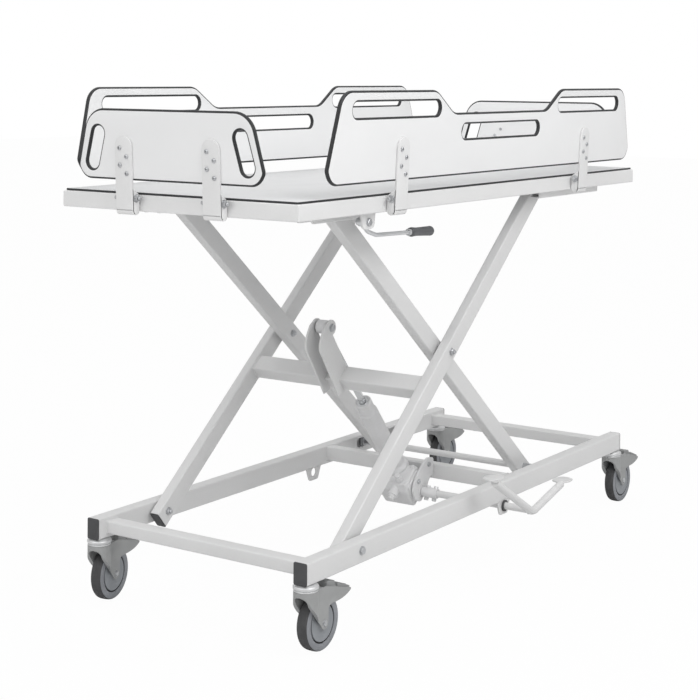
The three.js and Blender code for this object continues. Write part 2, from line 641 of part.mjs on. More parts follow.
function tableFrame() {
  const arms = Object.entries(railPlaces).flatMap(([railName, { x, y, turn }]) => {
    const place = new THREE.Matrix4().makeRotationZ(radians(turn)).setPosition(x, y, rail.axisHeight);
    return [-1, 1].map((end) => hingeArm(end * strapOffset(railName), place));
  });
  const { x, z, inner, outer } = table.leverEar;
  const ear = cut(
    plateXZ(roundedOutline([
      [x - 24, z - 16, 14], [x + 24, z - 16, 14], [x + 30, table.bottom + 10, 2],
      [x - 30, table.bottom + 10, 2],
    ]), -outer, -inner),
    crossPin(x, z, -outer - 1, -inner + 1, 5 + PLAY));
  return fuse(
    tableRing(), table.crossMembers.map(crossMember), Object.values(SIDES).map(rollerChannel),
    Object.values(SIDES).flatMap(pivotLugs), arms, ear);
}

function upperPivotBolt(side) {
  const { x } = scissor.lowerPivot;
  const innerFace = table.lug.inner[0];
  const outerFace = table.lug.outer[1];
  const pin = (from, to, radius, segments) =>
    crossPin(x, upperPivotZ, side * from, side * to, radius, segments);
  return fuse(
    pin(outerFace + GAP, outerFace + 5, bolt.headRadius, 6),
    pin(innerFace - 8, outerFace + 4, bolt.radius),
    pin(innerFace - 8, innerFace - GAP, bolt.headRadius, 6));
}

function handLever() {
  const { x, z, inner } = table.leverEar;
  const y = -inner + 13;
  const knee = new THREE.CatmullRomCurve3([
    new THREE.Vector3(x, y, z), new THREE.Vector3(x + 22, y, z - 22), new THREE.Vector3(x + 52, y, z - 34),
    new THREE.Vector3(x + 120, y, z - 36), new THREE.Vector3(x + 305, y, z - 43.5),
  ]);
  const section = new THREE.Shape().absarc(0, 0, 5, 0, 2 * Math.PI, false);
  const rod = toSolid(new THREE.ExtrudeGeometry(
    section, { steps: 14, extrudePath: knee, bevelEnabled: false, curveSegments: 3 }));
  const hub = crossPin(x, z, y - 8, y + 8, 11);
  const stud = crossPin(x, z, -table.leverEar.outer - 4, y, 5);
  return fuse(rod, hub, stud);
}

function leverGrip() {
  const { x, z, inner } = table.leverEar;
  const y = -inner + 13;
  const grip = toSolid(new THREE.CylinderGeometry(12, 10.5, 102, 14),
    new THREE.Matrix4().compose(
      new THREE.Vector3(x + 257, y, z - 41.6),
      new THREE.Quaternion().setFromUnitVectors(
        new THREE.Vector3(0, 1, 0), new THREE.Vector3(185, 0, -7.5).normalize()),
      new THREE.Vector3(1, 1, 1)));
  const bore = bar([x + 190, y, z - 38.9], [x + 306, y, z - 43.6], 6.5);
  return cut(grip, bore);
}

function buildTable() {
  const parts = new THREE.Group();
  parts.add(node('table_frame', tableFrame(), whitePaint));
  const { footEnd, headEnd, halfWidth, top, boardInset, boardThickness } = table;
  const board = block([footEnd + boardInset, headEnd - boardInset],
    [-halfWidth + boardInset, halfWidth - boardInset], [top + GAP, top + GAP + boardThickness]);
  parts.add(node('table_board', board, boardTop));
  for (const [sideName, side] of Object.entries(SIDES)) {
    parts.add(node(`upper_pivot_bolt_${sideName}`, upperPivotBolt(side), steel));
  }
  parts.add(node('hand_lever', handLever(), steel));
  parts.add(node('lever_grip', leverGrip(), darkPlastic));
  return parts;
}

// ---- Rails, drawn with the hinge line along X, the outside towards -Y and up along Z ----
function railStrap() {
  const { strapFace, strapThickness, strapTop, strapHalfWidth, cheekReach, cheekTop, pinRadius } = rail;
  const tail = radians(-125);
  const inside = strapFace - strapThickness;
  const hook = new THREE.Shape();
  hook.moveTo(-strapFace, strapTop);
  hook.lineTo(-strapFace, 0);
  hook.absarc(0, 0, strapFace, -Math.PI, tail, false);
  hook.absarc(0, 0, inside, tail, -Math.PI, true);
  hook.lineTo(-inside, strapTop);
  const plate = plateYZ(hook, -strapHalfWidth, strapHalfWidth);
  const front = new THREE.Shape();
  front.moveTo(-strapHalfWidth, -strapFace - 1);
  front.lineTo(strapHalfWidth, -strapFace - 1);
  front.lineTo(strapHalfWidth, strapTop - strapHalfWidth);
  front.absarc(0, strapTop - strapHalfWidth, strapHalfWidth, 0, Math.PI, false);
  const rounded = plate.intersect(plateXZ(front, -strapFace - 1, strapFace, 5));

  const cheek = new THREE.Shape();
  cheek.moveTo(-strapFace + 1, cheekTop + 16);
  cheek.lineTo(-strapFace + 1, 0);
  cheek.absarc(0, 0, strapFace - 1, -Math.PI, -0.4, false);
  cheek.lineTo(cheekReach - 1, 0);
  cheek.lineTo(cheekReach - 1, cheekTop);
  cheek.lineTo(cheekReach - 5, cheekTop + 4);
  const cheeks = [-1, 1].map((side) =>
    plateYZ(cheek, side * (strapHalfWidth - strapThickness), side * strapHalfWidth));
  const { height, radius, length } = rail.lockBolt;
  const lockBolts = [-1, 1].map((side) => bar(
    [side * (strapHalfWidth - 1), 0, height], [side * (strapHalfWidth + length), 0, height], radius, 8));
  const pinHole = bar([-strapHalfWidth - 1, 0, 0], [strapHalfWidth + 1, 0, 0], pinRadius + PLAY);
  return cut(fuse(rounded, cheeks, lockBolts), pinHole);
}

// A slot with round ends, drawn as a hole in a panel from one end centre to the other.
function slotHole(x0, z0, x1, z1, radius) {
  const along = Math.atan2(z1 - z0, x1 - x0);
  const hole = new THREE.Path();
  hole.absarc(x1, z1, radius, along - Math.PI / 2, along + Math.PI / 2, false);
  hole.absarc(x0, z0, radius, along + Math.PI / 2, along + 1.5 * Math.PI, false);
  hole.closePath();
  return hole;
}

function panelSolid(shape) {
  const face = -(rail.strapFace - rail.strapThickness) + GAP;
  return plateXZ(shape, face, face + rail.panelThickness, 5);
}

function sidePanel() {
  const bottom = 68.5;
  const high = 277;
  const low = 221;
  const shape = roundedOutline([
    [-752, bottom, 42], [752, bottom, 42], [770, 102, 18], [723, high, 48], [325, high, 60], [240, low, 60],
    [-240, low, 60], [-325, high, 60], [-723, high, 48], [-770, 102, 18],
  ]);
  const slotRadius = 20;
  for (const side of [-1, 1]) {
    shape.holes.push(slotHole(side * 325, 234, side * 663, 234, slotRadius));
  }
  shape.holes.push(slotHole(-183, 175, 183, 175, slotRadius));
  return panelSolid(shape);
}

function endPanel() {
  const bottom = 68;
  const top = 231;
  const shape = roundedOutline([
    [-252, bottom, 36], [252, bottom, 36], [270, 97, 18], [236, top, 58], [-236, top, 58], [-270, 97, 18],
  ]);
  for (const side of [-1, 1]) {
    shape.holes.push(slotHole(side * 225, 109, side * 207, 173, 20));
  }
  return panelSolid(shape);
}

function buildRails() {
  const parts = new THREE.Group();
  const panels = { side: sidePanel(), end: endPanel() };
  const strap = railStrap();
  for (const [railName, { x, y, turn }] of Object.entries(railPlaces)) {
    const heading = placed(new THREE.Group(), x, y, rail.axisHeight);
    heading.rotation.z = radians(turn);
    const leaning = new THREE.Group();
    leaning.rotation.x = radians(rail.lean);
    leaning.add(node(`${railName}_panel`, panels[railName.split('_')[0]], laminate));
    [-1, 1].forEach((end, i) => {
      const strapNode = node(`${railName}_strap_${i + 1}`, strap, whitePaint);
      strapNode.position.x = end * strapOffset(railName);
      leaning.add(strapNode);
    });
    heading.add(leaning);
    parts.add(heading);
  }
  return parts;
}

const trolley = new THREE.Group();
trolley.add(buildBase(), buildCasters(), buildScissor(), buildLift(), buildTable(), buildRails());

// The origin sits on the floor, below the middle of the trolley's overall box.
const overall = new THREE.Box3().setFromObject(trolley);
const middle = overall.getCenter(new THREE.Vector3());
trolley.position.set(-middle.x, -middle.y, -overall.min.z);

export default trolley;
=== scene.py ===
"""Looks for the height-adjustable changing trolley: every CAD node gets finished surfaces and detail."""
import json
import math

import bmesh
import bpy
from mathutils import Matrix, Vector


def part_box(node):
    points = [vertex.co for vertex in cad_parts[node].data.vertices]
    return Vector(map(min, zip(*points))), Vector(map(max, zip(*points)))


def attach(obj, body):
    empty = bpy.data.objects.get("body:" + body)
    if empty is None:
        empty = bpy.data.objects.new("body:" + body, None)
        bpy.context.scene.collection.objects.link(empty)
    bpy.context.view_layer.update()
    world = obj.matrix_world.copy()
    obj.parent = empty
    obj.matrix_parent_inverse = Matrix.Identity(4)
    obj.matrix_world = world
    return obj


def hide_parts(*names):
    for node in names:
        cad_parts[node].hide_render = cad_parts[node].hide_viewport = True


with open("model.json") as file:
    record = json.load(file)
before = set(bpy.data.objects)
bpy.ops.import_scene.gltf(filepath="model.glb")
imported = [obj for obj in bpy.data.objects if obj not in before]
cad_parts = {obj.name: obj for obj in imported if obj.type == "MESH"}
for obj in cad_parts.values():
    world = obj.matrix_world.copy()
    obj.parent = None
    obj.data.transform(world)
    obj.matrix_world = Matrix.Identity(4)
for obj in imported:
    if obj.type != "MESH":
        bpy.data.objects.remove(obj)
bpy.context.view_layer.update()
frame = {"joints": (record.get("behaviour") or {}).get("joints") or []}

# ---- Places, all in millimetres from the middle of the base on the floor ----
MM = 0.001
low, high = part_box("base_frame")
ORIGIN = Vector(((low.x + high.x) / 2, (low.y + high.y) / 2, 0))
joint_place = {j["name"]: (Vector(j["pos_m"]) - ORIGIN) / MM for j in frame["joints"] if "pos_m" in j}


def node_box(name):
    lo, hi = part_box(name)
    return (lo - ORIGIN) / MM, (hi - ORIGIN) / MM


SIDES = {"right": -1, "left": 1}
ENDS = {"foot": -1, "head": 1}
LEG_HALF = 602
LEG_OVERHANG = 22
lower_pivot = joint_place["lift"]
crossing = joint_place["scissor_pivot"]
upper_z = joint_place["table_pivot"].z
leg_angle = math.atan2(crossing.z - lower_pivot.z, crossing.x - lower_pivot.x)
pump_pivot = joint_place["pump_tilt"]

turn_y = lambda angle: Matrix.Rotation(angle, 4, "Y")
UPRIGHT = Matrix.Rotation(math.pi / 2, 4, "X")
ACROSS = Matrix.Rotation(-math.pi / 2, 4, "X")
OUTER = Matrix.Translation(crossing) @ turn_y(-leg_angle)
INNER = Matrix.Translation(crossing) @ turn_y(leg_angle)
PUMP_TILT = math.radians(39.66)
PUMP = Matrix.Translation(pump_pivot) @ turn_y(-PUMP_TILT)
HERE = Matrix.Identity(4)


def shift(x=0, y=0, z=0):
    return Matrix.Translation((x, y, z))


# ---- Procedural finishes ----
class Finish:
    """A node material and the record's slot it stands for."""

    def __init__(self, slot, name, color, roughness, metallic=0.0, grain=(900, 0.15), tint=0.04,
                 patch=9, scratch=0.0, coat=0.0, edge=0.0, brushed=None):
        self.slot = slot
        mat = bpy.data.materials.new(name)
        mat.use_nodes = True
        self.material = mat
        nodes, links = mat.node_tree.nodes, mat.node_tree.links
        shader = nodes["Principled BSDF"]
        shader.inputs["Metallic"].default_value = metallic
        shader.inputs["Coat Weight"].default_value = coat
        shader.inputs["Coat Roughness"].default_value = 0.18
        place = nodes.new("ShaderNodeTexCoord")

        def noise(scale, detail, stretch=None, rough=0.55):
            texture = nodes.new("ShaderNodeTexNoise")
            texture.inputs["Scale"].default_value = scale
            texture.inputs["Detail"].default_value = detail
            texture.inputs["Roughness"].default_value = rough
            source = place.outputs["Object"]
            if stretch:
                mapping = nodes.new("ShaderNodeMapping")
                mapping.inputs["Scale"].default_value = stretch
                links.new(source, mapping.inputs["Vector"])
                source = mapping.outputs["Vector"]
            links.new(source, texture.inputs["Vector"])
            return texture.outputs["Fac"]

        def remap(source, from_low, from_high, to_low, to_high):
            node = nodes.new("ShaderNodeMapRange")
            for key, value in zip(("From Min", "From Max", "To Min", "To Max"),
                                  (from_low, from_high, to_low, to_high)):
                node.inputs[key].default_value = value
            links.new(source, node.inputs["Value"])
            return node.outputs["Result"]

        def mix(kind, fac, a, b):
            node = nodes.new("ShaderNodeMix")
            node.data_type = "RGBA"
            node.blend_type = kind
            if isinstance(fac, float):
                node.inputs["Factor"].default_value = fac
            else:
                links.new(fac, node.inputs["Factor"])
            for socket, value in ((node.inputs[6], a), (node.inputs[7], b)):
                if isinstance(value, tuple):
                    socket.default_value = (*value, 1)
                else:
                    links.new(value, socket)
            return node.outputs[2]

        # colour: a soft patchy drift, then fine speckle
        darker = tuple(c * (1 - tint * 2) for c in color)
        lighter = tuple(min(1, c * (1 + tint)) for c in color)
        drift = mix("MIX", remap(noise(patch, 4), 0.35, 0.65, 0, 1), darker, lighter)
        speckle = remap(noise(grain[0] * 0.6, 2), 0.3, 0.7, 1 - tint, 1 + tint * 0.5)
        shade = nodes.new("ShaderNodeCombineColor")
        for channel in ("Red", "Green", "Blue"):
            links.new(speckle, shade.inputs[channel])
        tone = mix("MULTIPLY", 1.0, drift, shade.outputs["Color"])
        # painted edge highlight: every rounded edge, inner corners too, is lightened evenly
        if edge:
            edge_probe = nodes.new("ShaderNodeBevel")
            edge_probe.samples = 4
            edge_probe.inputs["Radius"].default_value = 0.0012
            facing = nodes.new("ShaderNodeNewGeometry")
            dot = nodes.new("ShaderNodeVectorMath")
            dot.operation = "DOT_PRODUCT"
            links.new(edge_probe.outputs["Normal"], dot.inputs[0])
            links.new(facing.outputs["Normal"], dot.inputs[1])
            painted_edge_highlight = remap(dot.outputs["Value"], 0.98, 0.8, 0, edge)
            tone = mix("MIX", painted_edge_highlight, tone, tuple(min(1, c * 1.12 + 0.02) for c in color))
        links.new(tone, shader.inputs["Base Color"])

        # roughness: smudges, plus rubbed streaks where the finish is handled
        smudge = remap(noise(patch * 2.5, 5), 0.3, 0.7, roughness * 0.86, roughness * 1.12)
        if scratch:
            streak = noise(60, 6, (1, 14, 14), 0.7)
            add = nodes.new("ShaderNodeMath")
            add.operation = "ADD"
            links.new(smudge, add.inputs[0])
            links.new(remap(streak, 0.62, 0.75, 0, scratch), add.inputs[1])
            smudge = add.outputs["Value"]
        links.new(smudge, shader.inputs["Roughness"])

        # relief: moulded grain, orange peel or brush marks
        relief = noise(grain[0], 3, brushed)
        bump = nodes.new("ShaderNodeBump")
        bump.inputs["Strength"].default_value = grain[1]
        bump.inputs["Distance"].default_value = 0.0004
        links.new(relief, bump.inputs["Height"])
        links.new(bump.outputs["Normal"], shader.inputs["Normal"])


PAINT = Finish("white_paint", "white_powder_coat", (0.80, 0.80, 0.80), 0.42, grain=(420, 0.10),
               tint=0.012, patch=5, scratch=0.05, coat=0.08, edge=0.6)
# the same white powder coat painted darker: painted shade for the low parts (base, scissor legs, foot rocker)
SHADED_PAINT = Finish("white_paint", "white_powder_coat_painted_shade", (0.70, 0.70, 0.70), 0.42, grain=(420, 0.10),
                    tint=0.012, patch=5, scratch=0.05, coat=0.08, edge=0.6)
LAMINATE = Finish("rail_laminate", "white_compact_laminate", (0.86, 0.862, 0.865), 0.38,
                  grain=(700, 0.06), tint=0.008, patch=4, scratch=0.05)
CORE = Finish("rail_laminate", "black_laminate_core", (0.018, 0.019, 0.021), 0.45, grain=(500, 0.12),
              tint=0.12, patch=30)
# the white board painted grey: painted shade from the rails standing over it
SHADED_BOARD = Finish("board_white", "white_board_painted_shade", (0.67, 0.675, 0.68), 0.46, grain=(650, 0.08),
               tint=0.015, patch=3, scratch=0.06)
BOARD_CORE = Finish("board_white", "dark_board_core", (0.03, 0.031, 0.034), 0.5, grain=(500, 0.12),
                    tint=0.12, patch=30)
CAP = Finish("black_plastic", "black_moulded_plastic", (0.062, 0.063, 0.066), 0.55, grain=(1100, 0.3),
             tint=0.06, patch=25, edge=0.35)
GRIP = Finish("black_plastic", "dark_grip_plastic", (0.105, 0.108, 0.115), 0.4, grain=(1200, 0.2),
              tint=0.06, patch=25, edge=0.3)
FORK = Finish("grey_plastic", "grey_moulded_housing", (0.34, 0.345, 0.345), 0.5, grain=(1000, 0.22),
              tint=0.03, patch=22, edge=0.3)
PEDAL = Finish("grey_plastic", "grey_brake_pedal", (0.28, 0.285, 0.285), 0.5, grain=(1000, 0.25),
               tint=0.04, patch=22, edge=0.3)
# the tread is the wall's grey rubber painted near black: painted shade on the side facing away from the lights
SHADED_TREAD = Finish("tyre_rubber", "tread_rubber_painted_shade", (0.065, 0.065, 0.067), 0.78, grain=(800, 0.35),
               tint=0.08, patch=35)
WALL = Finish("tyre_rubber", "grey_tyre_wall", (0.27, 0.28, 0.30), 0.6, grain=(900, 0.25),
              tint=0.05, patch=30)
WHEEL = Finish("wheel_plastic", "blue_grey_wheel", (0.28, 0.295, 0.315), 0.45, grain=(1000, 0.2),
               tint=0.03, patch=25, edge=0.3)
# the disc's plastic painted near black: painted shade in the groove between tyre and disc
GROOVE_SHADE = Finish("wheel_plastic", "wheel_groove_painted_shade", (0.03, 0.032, 0.036), 0.6, grain=(900, 0.2),
                tint=0.08, patch=25)
ZINC = Finish("zinc_steel", "bright_zinc_plate", (0.72, 0.73, 0.74), 0.36, metallic=0.85,
              grain=(240, 0.03), tint=0.025, patch=30)
RACE = Finish("zinc_steel", "bright_bearing_race", (0.74, 0.745, 0.75), 0.38, metallic=0.8,
              grain=(220, 0.03), tint=0.015, patch=25)
BOLT = Finish("zinc_steel", "zinc_bolt", (0.56, 0.57, 0.585), 0.33, metallic=0.85,
              grain=(900, 0.12), tint=0.08, patch=60, edge=0.3)
CHROME = Finish("piston_steel", "hard_chrome_rod", (0.78, 0.79, 0.80), 0.12, metallic=1.0,
                grain=(300, 0.03), tint=0.03, patch=30, brushed=(6, 6, 0.6))
CAST = Finish("white_paint", "painted_casting", (0.72, 0.72, 0.725), 0.5, grain=(260, 0.35),
              tint=0.02, patch=14, edge=0.5)


# ---- Mesh building, in millimetres ----
def piece(name, bm, body, *finishes, nodes=(), bevel=0.0, angle=38, place=HERE):
    """Turns a bmesh into a Blender object that rides on a body and stands for CAD nodes."""
    bmesh.ops.transform(bm, matrix=place, verts=bm.verts)
    bmesh.ops.recalc_face_normals(bm, faces=bm.faces)
    mesh = bpy.data.meshes.new(name)
    bm.to_mesh(mesh)
    bm.free()
    mesh.transform(Matrix.Translation(ORIGIN) @ Matrix.Scale(MM, 4))
    obj = bpy.data.objects.new(name, mesh)
    bpy.context.scene.collection.objects.link(obj)
    for finish in finishes:
        mesh.materials.append(finish.material)
    mesh.shade_smooth()
    mesh.set_sharp_from_angle(angle=math.radians(angle))
    if bevel:
        rounding = obj.modifiers.new("edges", "BEVEL")
        rounding.width = bevel * MM
        rounding.segments = 2
        rounding.limit_method = "ANGLE"
        rounding.angle_limit = math.radians(40)
        rounding.harden_normals = True
    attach(obj, body)
    if nodes:
        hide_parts(*nodes)
    return obj


def loft(bm, rings, place=HERE, wrap=False, caps=True, index=0):
    """Joins closed rings of points into a skin, with flat ends unless it wraps round."""
    loops = [[bm.verts.new(place @ Vector(point)) for point in ring] for ring in rings]
    pairs = list(zip(loops, loops[1:])) + ([(loops[-1], loops[0])] if wrap else [])
    count = len(rings[0])
    faces = [bm.faces.new((a[i], a[(i + 1) % count], b[(i + 1) % count], b[i]))
             for a, b in pairs for i in range(count)]
    if caps and not wrap:
        faces += [bm.faces.new(loops[0][::-1]), bm.faces.new(loops[-1])]
    for face in faces:
        face.material_index = index
    return loops, faces


def rounded(corners, steps=6):
    """An outline from (x, y, radius) corners, each corner turned into an arc."""
    points = []
    for i, (x, y, radius) in enumerate(corners):
        corner = Vector((x, y))
        if radius <= 0:
            points.append(corner)
            continue
        before = (Vector(corners[i - 1][:2]) - corner).normalized()
        after = (Vector(corners[(i + 1) % len(corners)][:2]) - corner).normalized()
        half = before.angle(after) / 2
        centre = corner + (before + after).normalized() * radius / math.sin(half)
        start = corner + before * radius / math.tan(half) - centre
        end = corner + after * radius / math.tan(half) - centre
        sweep_angle = math.atan2(start.x * end.y - start.y * end.x, start.dot(end))
        for k in range(steps + 1):
            angle = sweep_angle * k / steps
            c, s = math.cos(angle), math.sin(angle)
            points.append(centre + Vector((start.x * c - start.y * s, start.x * s + start.y * c)))
    return points


def round_rect(w, h, r, steps=5):
    return rounded([(-w / 2, -h / 2, r), (w / 2, -h / 2, r), (w / 2, h / 2, r), (-w / 2, h / 2, r)], steps)


def circle(radius, segments=32, x=0.0, y=0.0):
    return [Vector((x + radius * math.cos(2 * math.pi * i / segments),
                    y + radius * math.sin(2 * math.pi * i / segments))) for i in range(segments)]


def curve(a, b, c, count=12):
    """Points along a parabola from a to c, pulled towards b."""
    a, b, c = Vector(a), Vector(b), Vector(c)
    return [a * (1 - t) ** 2 + b * 2 * t * (1 - t) + c * t ** 2 for t in (k / count for k in range(count + 1))]


def slot_outline(x0, y0, x1, y1, radius, steps=14):
    along = math.atan2(y1 - y0, x1 - x0)
    points = []
    for cx, cy, start in ((x1, y1, along - math.pi / 2), (x0, y0, along + math.pi / 2)):
        points += [Vector((cx + radius * math.cos(start + math.pi * k / steps),
                           cy + radius * math.sin(start + math.pi * k / steps)))
                   for k in range(steps + 1)]
    return points


def inset(loop, distance):
    """The loop moved to its left by a distance, with mitred corners."""
    moved = []
    for i, point in enumerate(loop):
        before = (point - loop[i - 1]).normalized()
        after = (loop[(i + 1) % len(loop)] - point).normalized()
        tangent = (before + after).normalized()
        stretch = max(0.4, tangent.dot(after))
        moved.append(point + Vector((-tangent.y, tangent.x)) * (distance / stretch))
    return moved


def area(loop):
    return sum(a.x * b.y - b.x * a.y for a, b in zip(loop, loop[1:] + loop[:1])) / 2


def plate(bm, outline, z0, z1, edge=0.8, holes=(), place=HERE, steps=3, rim_index=0):
    """A flat plate with holes, its edges rounded over on both faces."""
    loops = [outline if area(outline) > 0 else outline[::-1]]
    loops += [hole[::-1] if area(hole) > 0 else hole for hole in holes]
    tops, bottoms = [], []
    for loop in loops:
        profile = []
        for k in range(steps + 1):
            angle = math.pi / 2 * k / steps
            profile.append((edge * (1 - math.sin(angle)), z1 - edge * (1 - math.cos(angle))))
        profile += [(d, z0 + z1 - z) for d, z in profile[::-1]]
        rings = [[(p.x, p.y, z) for p in (inset(loop, d) if d > 1e-6 else loop)] for d, z in profile]
        made = loft(bm, rings, place, caps=False, index=rim_index)[0]
        tops.append(made[0])
        bottoms.append(made[-1])
    for group in (tops, bottoms):
        edges = [bm.edges.get((ring[i], ring[(i + 1) % len(ring)])) for ring in group
                 for i in range(len(ring))]
        filled = bmesh.ops.triangle_fill(bm, use_beauty=True, use_dissolve=False, edges=edges)
        for face in filled["geom"]:
            if isinstance(face, bmesh.types.BMFace):
                face.material_index = 0


def plate_xz(bm, outline, y0, y1, edge=0.8, holes=(), place=HERE, steps=3, rim_index=0):
    """The same, drawn in X and Z with its thickness along Y."""
    plate(bm, outline, -max(y0, y1), -min(y0, y1), edge, holes, place @ UPRIGHT, steps, rim_index)


def lathe(bm, profile, place=HERE, segments=40, index=0):
    """A closed (radius, height) profile turned about Z."""
    rings = []
    for i in range(segments):
        c, s = math.cos(2 * math.pi * i / segments), math.sin(2 * math.pi * i / segments)
        rings.append([(r * c, r * s, h) for r, h in profile])
    loops, faces = loft(bm, rings, place, wrap=True, index=index)
    poles = [vert for ring in loops for vert, (r, _) in zip(ring, profile) if r < 1e-6]
    if poles:
        bmesh.ops.remove_doubles(bm, verts=poles, dist=1e-4)
    return faces


def drum(bm, radius, z0, z1, place=HERE, edge=0.8, segments=40, index=0):
    """A solid round with softened rims."""
    edge = min(edge, radius * 0.45, (z1 - z0) * 0.45)
    profile = rounded([(0, z0, 0), (radius, z0, edge), (radius, z1, edge), (0, z1, 0)], 3)
    lathe(bm, [tuple(p) for p in profile], place, segments, index)


def drum_across(bm, radius, y0, y1, x=0, z=0, place=HERE, edge=0.8, segments=40, index=0):
    drum(bm, radius, min(y0, y1), max(y0, y1), place @ shift(x, 0, z) @ ACROSS, edge, segments, index)


def pipe(bm, radius, bore, z0, z1, place=HERE, edge=0.6, segments=40, index=0):
    profile = rounded([(bore, z0, edge), (radius, z0, edge), (radius, z1, edge), (bore, z1, edge)], 2)
    lathe(bm, [tuple(p) for p in profile], place, segments, index)


def sweep(bm, path, section, normal, place=HERE, closed=False, index=0):
    """A section carried along a flat path; its x lies along the normal."""
    path = [Vector(p) for p in path]
    normal = Vector(normal).normalized()
    rings = []
    for i, point in enumerate(path):
        before = path[i - 1] if closed or i else point
        after = path[(i + 1) % len(path)] if closed or i < len(path) - 1 else point
        into = (point - before).normalized() if (point - before).length else (after - point).normalized()
        out = (after - point).normalized() if (after - point).length else into
        tangent = (into + out).normalized()
        side = tangent.cross(normal).normalized()
        stretch = 1 / max(0.5, tangent.dot(out))
        rings.append([point + normal * a + side * b * stretch for a, b in section])
    loft(bm, rings, place, wrap=closed, index=index)


def fillet_path(points, radius, steps=8):
    """A path with its inner corners rounded."""
    points = [Vector(p) for p in points]
    path = [points[0]]
    for before, corner, after in zip(points, points[1:], points[2:]):
        u, v = (before - corner).normalized(), (after - corner).normalized()
        reach = min(radius / math.tan(u.angle(v) / 2), (before - corner).length * 0.48,
                    (after - corner).length * 0.48)
        path += curve(corner + u * reach, corner, corner + v * reach, steps)
    return path + [points[-1]]


def box_tube(bm, x0, x1, w, h, wall=3.0, r=4.0, place=HERE):
    """A rectangular tube along X, w across Y and h up Z, open at both ends."""
    outer, thin = round_rect(w, h, r), round_rect(w - 1, h - 1, r - 0.5)
    inner = round_rect(w - 2 * wall, h - 2 * wall, max(1.0, r - wall))
    rings = [(outer, x0 + 0.5), (outer, x1 - 0.5), (thin, x1), (inner, x1), (inner, x0), (thin, x0)]
    loft(bm, [[(x, p.x, p.y) for p in loop] for loop, x in rings], place, wrap=True)


def box_bar(bm, x0, x1, w, h, r=4.0, place=HERE, index=0, crown=0.6):
    """A closed bar of the same section."""
    outer, thin = round_rect(w, h, r), round_rect(w - 2 * crown, h - 2 * crown, r - crown * 0.6)
    rings = [(thin, x0), (outer, x0 + crown), (outer, x1 - crown), (thin, x1)]
    loft(bm, [[(x, p.x, p.y) for p in loop] for loop, x in rings], place, index=index)


def bead(bm, path, radius=2.2, place=HERE):
    """A weld bead round a closed path, with the slight ripple of a hand-run weld."""
    path = [Vector(p) for p in path]
    dense = []
    for a, b in zip(path, path[1:] + path[:1]):
        count = max(1, round((b - a).length / 2.5))
        dense += [a.lerp(b, k / count) for k in range(count)]
    centre = sum(dense, Vector()) / len(dense)
    rings = []
    for i, point in enumerate(dense):
        tangent = (dense[(i + 1) % len(dense)] - dense[i - 1]).normalized()
        out = (point - centre)
        out = (out - tangent * out.dot(tangent)).normalized()
        side = tangent.cross(out)
        size = radius * (1 + 0.16 * math.sin(i * 2.1) + 0.06 * math.sin(i * 0.37))
        rings.append([point + out * size * math.cos(a) + side * size * math.sin(a)
                      for a in (k * math.pi / 4 for k in range(8))])
    loft(bm, rings, place, wrap=True)


def hex_head(bm, radius, height, place=HERE, index=0):
    """A chamfered hexagon standing on z = 0, with a washer face below it."""
    hexagon = circle(radius, 6)
    rings = [(1.0, 0.6), (1.0, height - 1.2), (0.86, height)]
    loft(bm, [[(p.x * k, p.y * k, z) for p in hexagon] for k, z in rings], place, index=index)
    drum(bm, radius * 1.12, -0.6, 0.8, place, 0.3, 32, index)


def nut(bm, radius, place):
    """A hexagon nut on z = 0 with the end of its bolt standing out."""
    hex_head(bm, radius, 6, place)
    drum(bm, radius * 0.52, 5, 11, place, 1.2, 24)


def dome_screw(bm, radius, height, place=HERE, index=0):
    """A button-head screw with a hexagon socket, standing on z = 0."""
    profile = [(0, 0), (radius, 0), (radius, height * 0.3)]
    for k in range(1, 6):
        angle = math.pi / 2 * k / 6
        profile.append((radius * math.cos(angle * 0.92), height * (0.3 + 0.7 * math.sin(angle))))
    profile += [(radius * 0.4, height), (radius * 0.36, height * 0.45), (0, height * 0.4)]
    lathe(bm, profile, place, 24, index)


def carve(obj, cutter):
    """Cuts a closed shape out of a piece, for good."""
    mesh = bpy.data.meshes.new("cutter")
    bmesh.ops.recalc_face_normals(cutter, faces=cutter.faces)
    cutter.to_mesh(mesh)
    cutter.free()
    mesh.transform(Matrix.Translation(ORIGIN) @ Matrix.Scale(MM, 4))
    tool = bpy.data.objects.new("cutter", mesh)
    bpy.context.scene.collection.objects.link(tool)
    saw = obj.modifiers.new("saw", "BOOLEAN")
    saw.operation = "DIFFERENCE"
    saw.solver = "EXACT"
    saw.object = tool
    bpy.context.view_layer.update()
    done = bpy.data.meshes.new_from_object(obj.evaluated_get(bpy.context.evaluated_depsgraph_get()))
    obj.modifiers.remove(saw)
    obj.data = done
    done.shade_smooth()
    done.set_sharp_from_angle(angle=math.radians(38))
    bpy.data.objects.remove(tool)


# ---- Wheeled base ----
TUBE_Y, TUBE_W, TUBE_LOW, TUBE_TOP = 304, 36, 158, 208
TUBE_Z = (TUBE_LOW + TUBE_TOP) / 2
TUBE_H = TUBE_TOP - TUBE_LOW
BASE_END = 800
CAP_THICK = 3
SLOT_HALF = 14
pedal_axis = Vector((pump_pivot.x, 0, pump_pivot.z))


LUG_FACES = {"right": (-322, -317), "left": (287, 292)}


def shaft_lug(bm, faces):
    x, z = pedal_axis.x, pedal_axis.z
    outline = rounded([(x - 34, TUBE_LOW + 1, 0.5), (x - 20, 124, 10), (x + 20, 124, 10),
                       (x + 34, TUBE_LOW + 1, 0.5)], 8)
    plate_xz(bm, outline, *faces, 0.9, [circle(11.8, 32, x, z)])


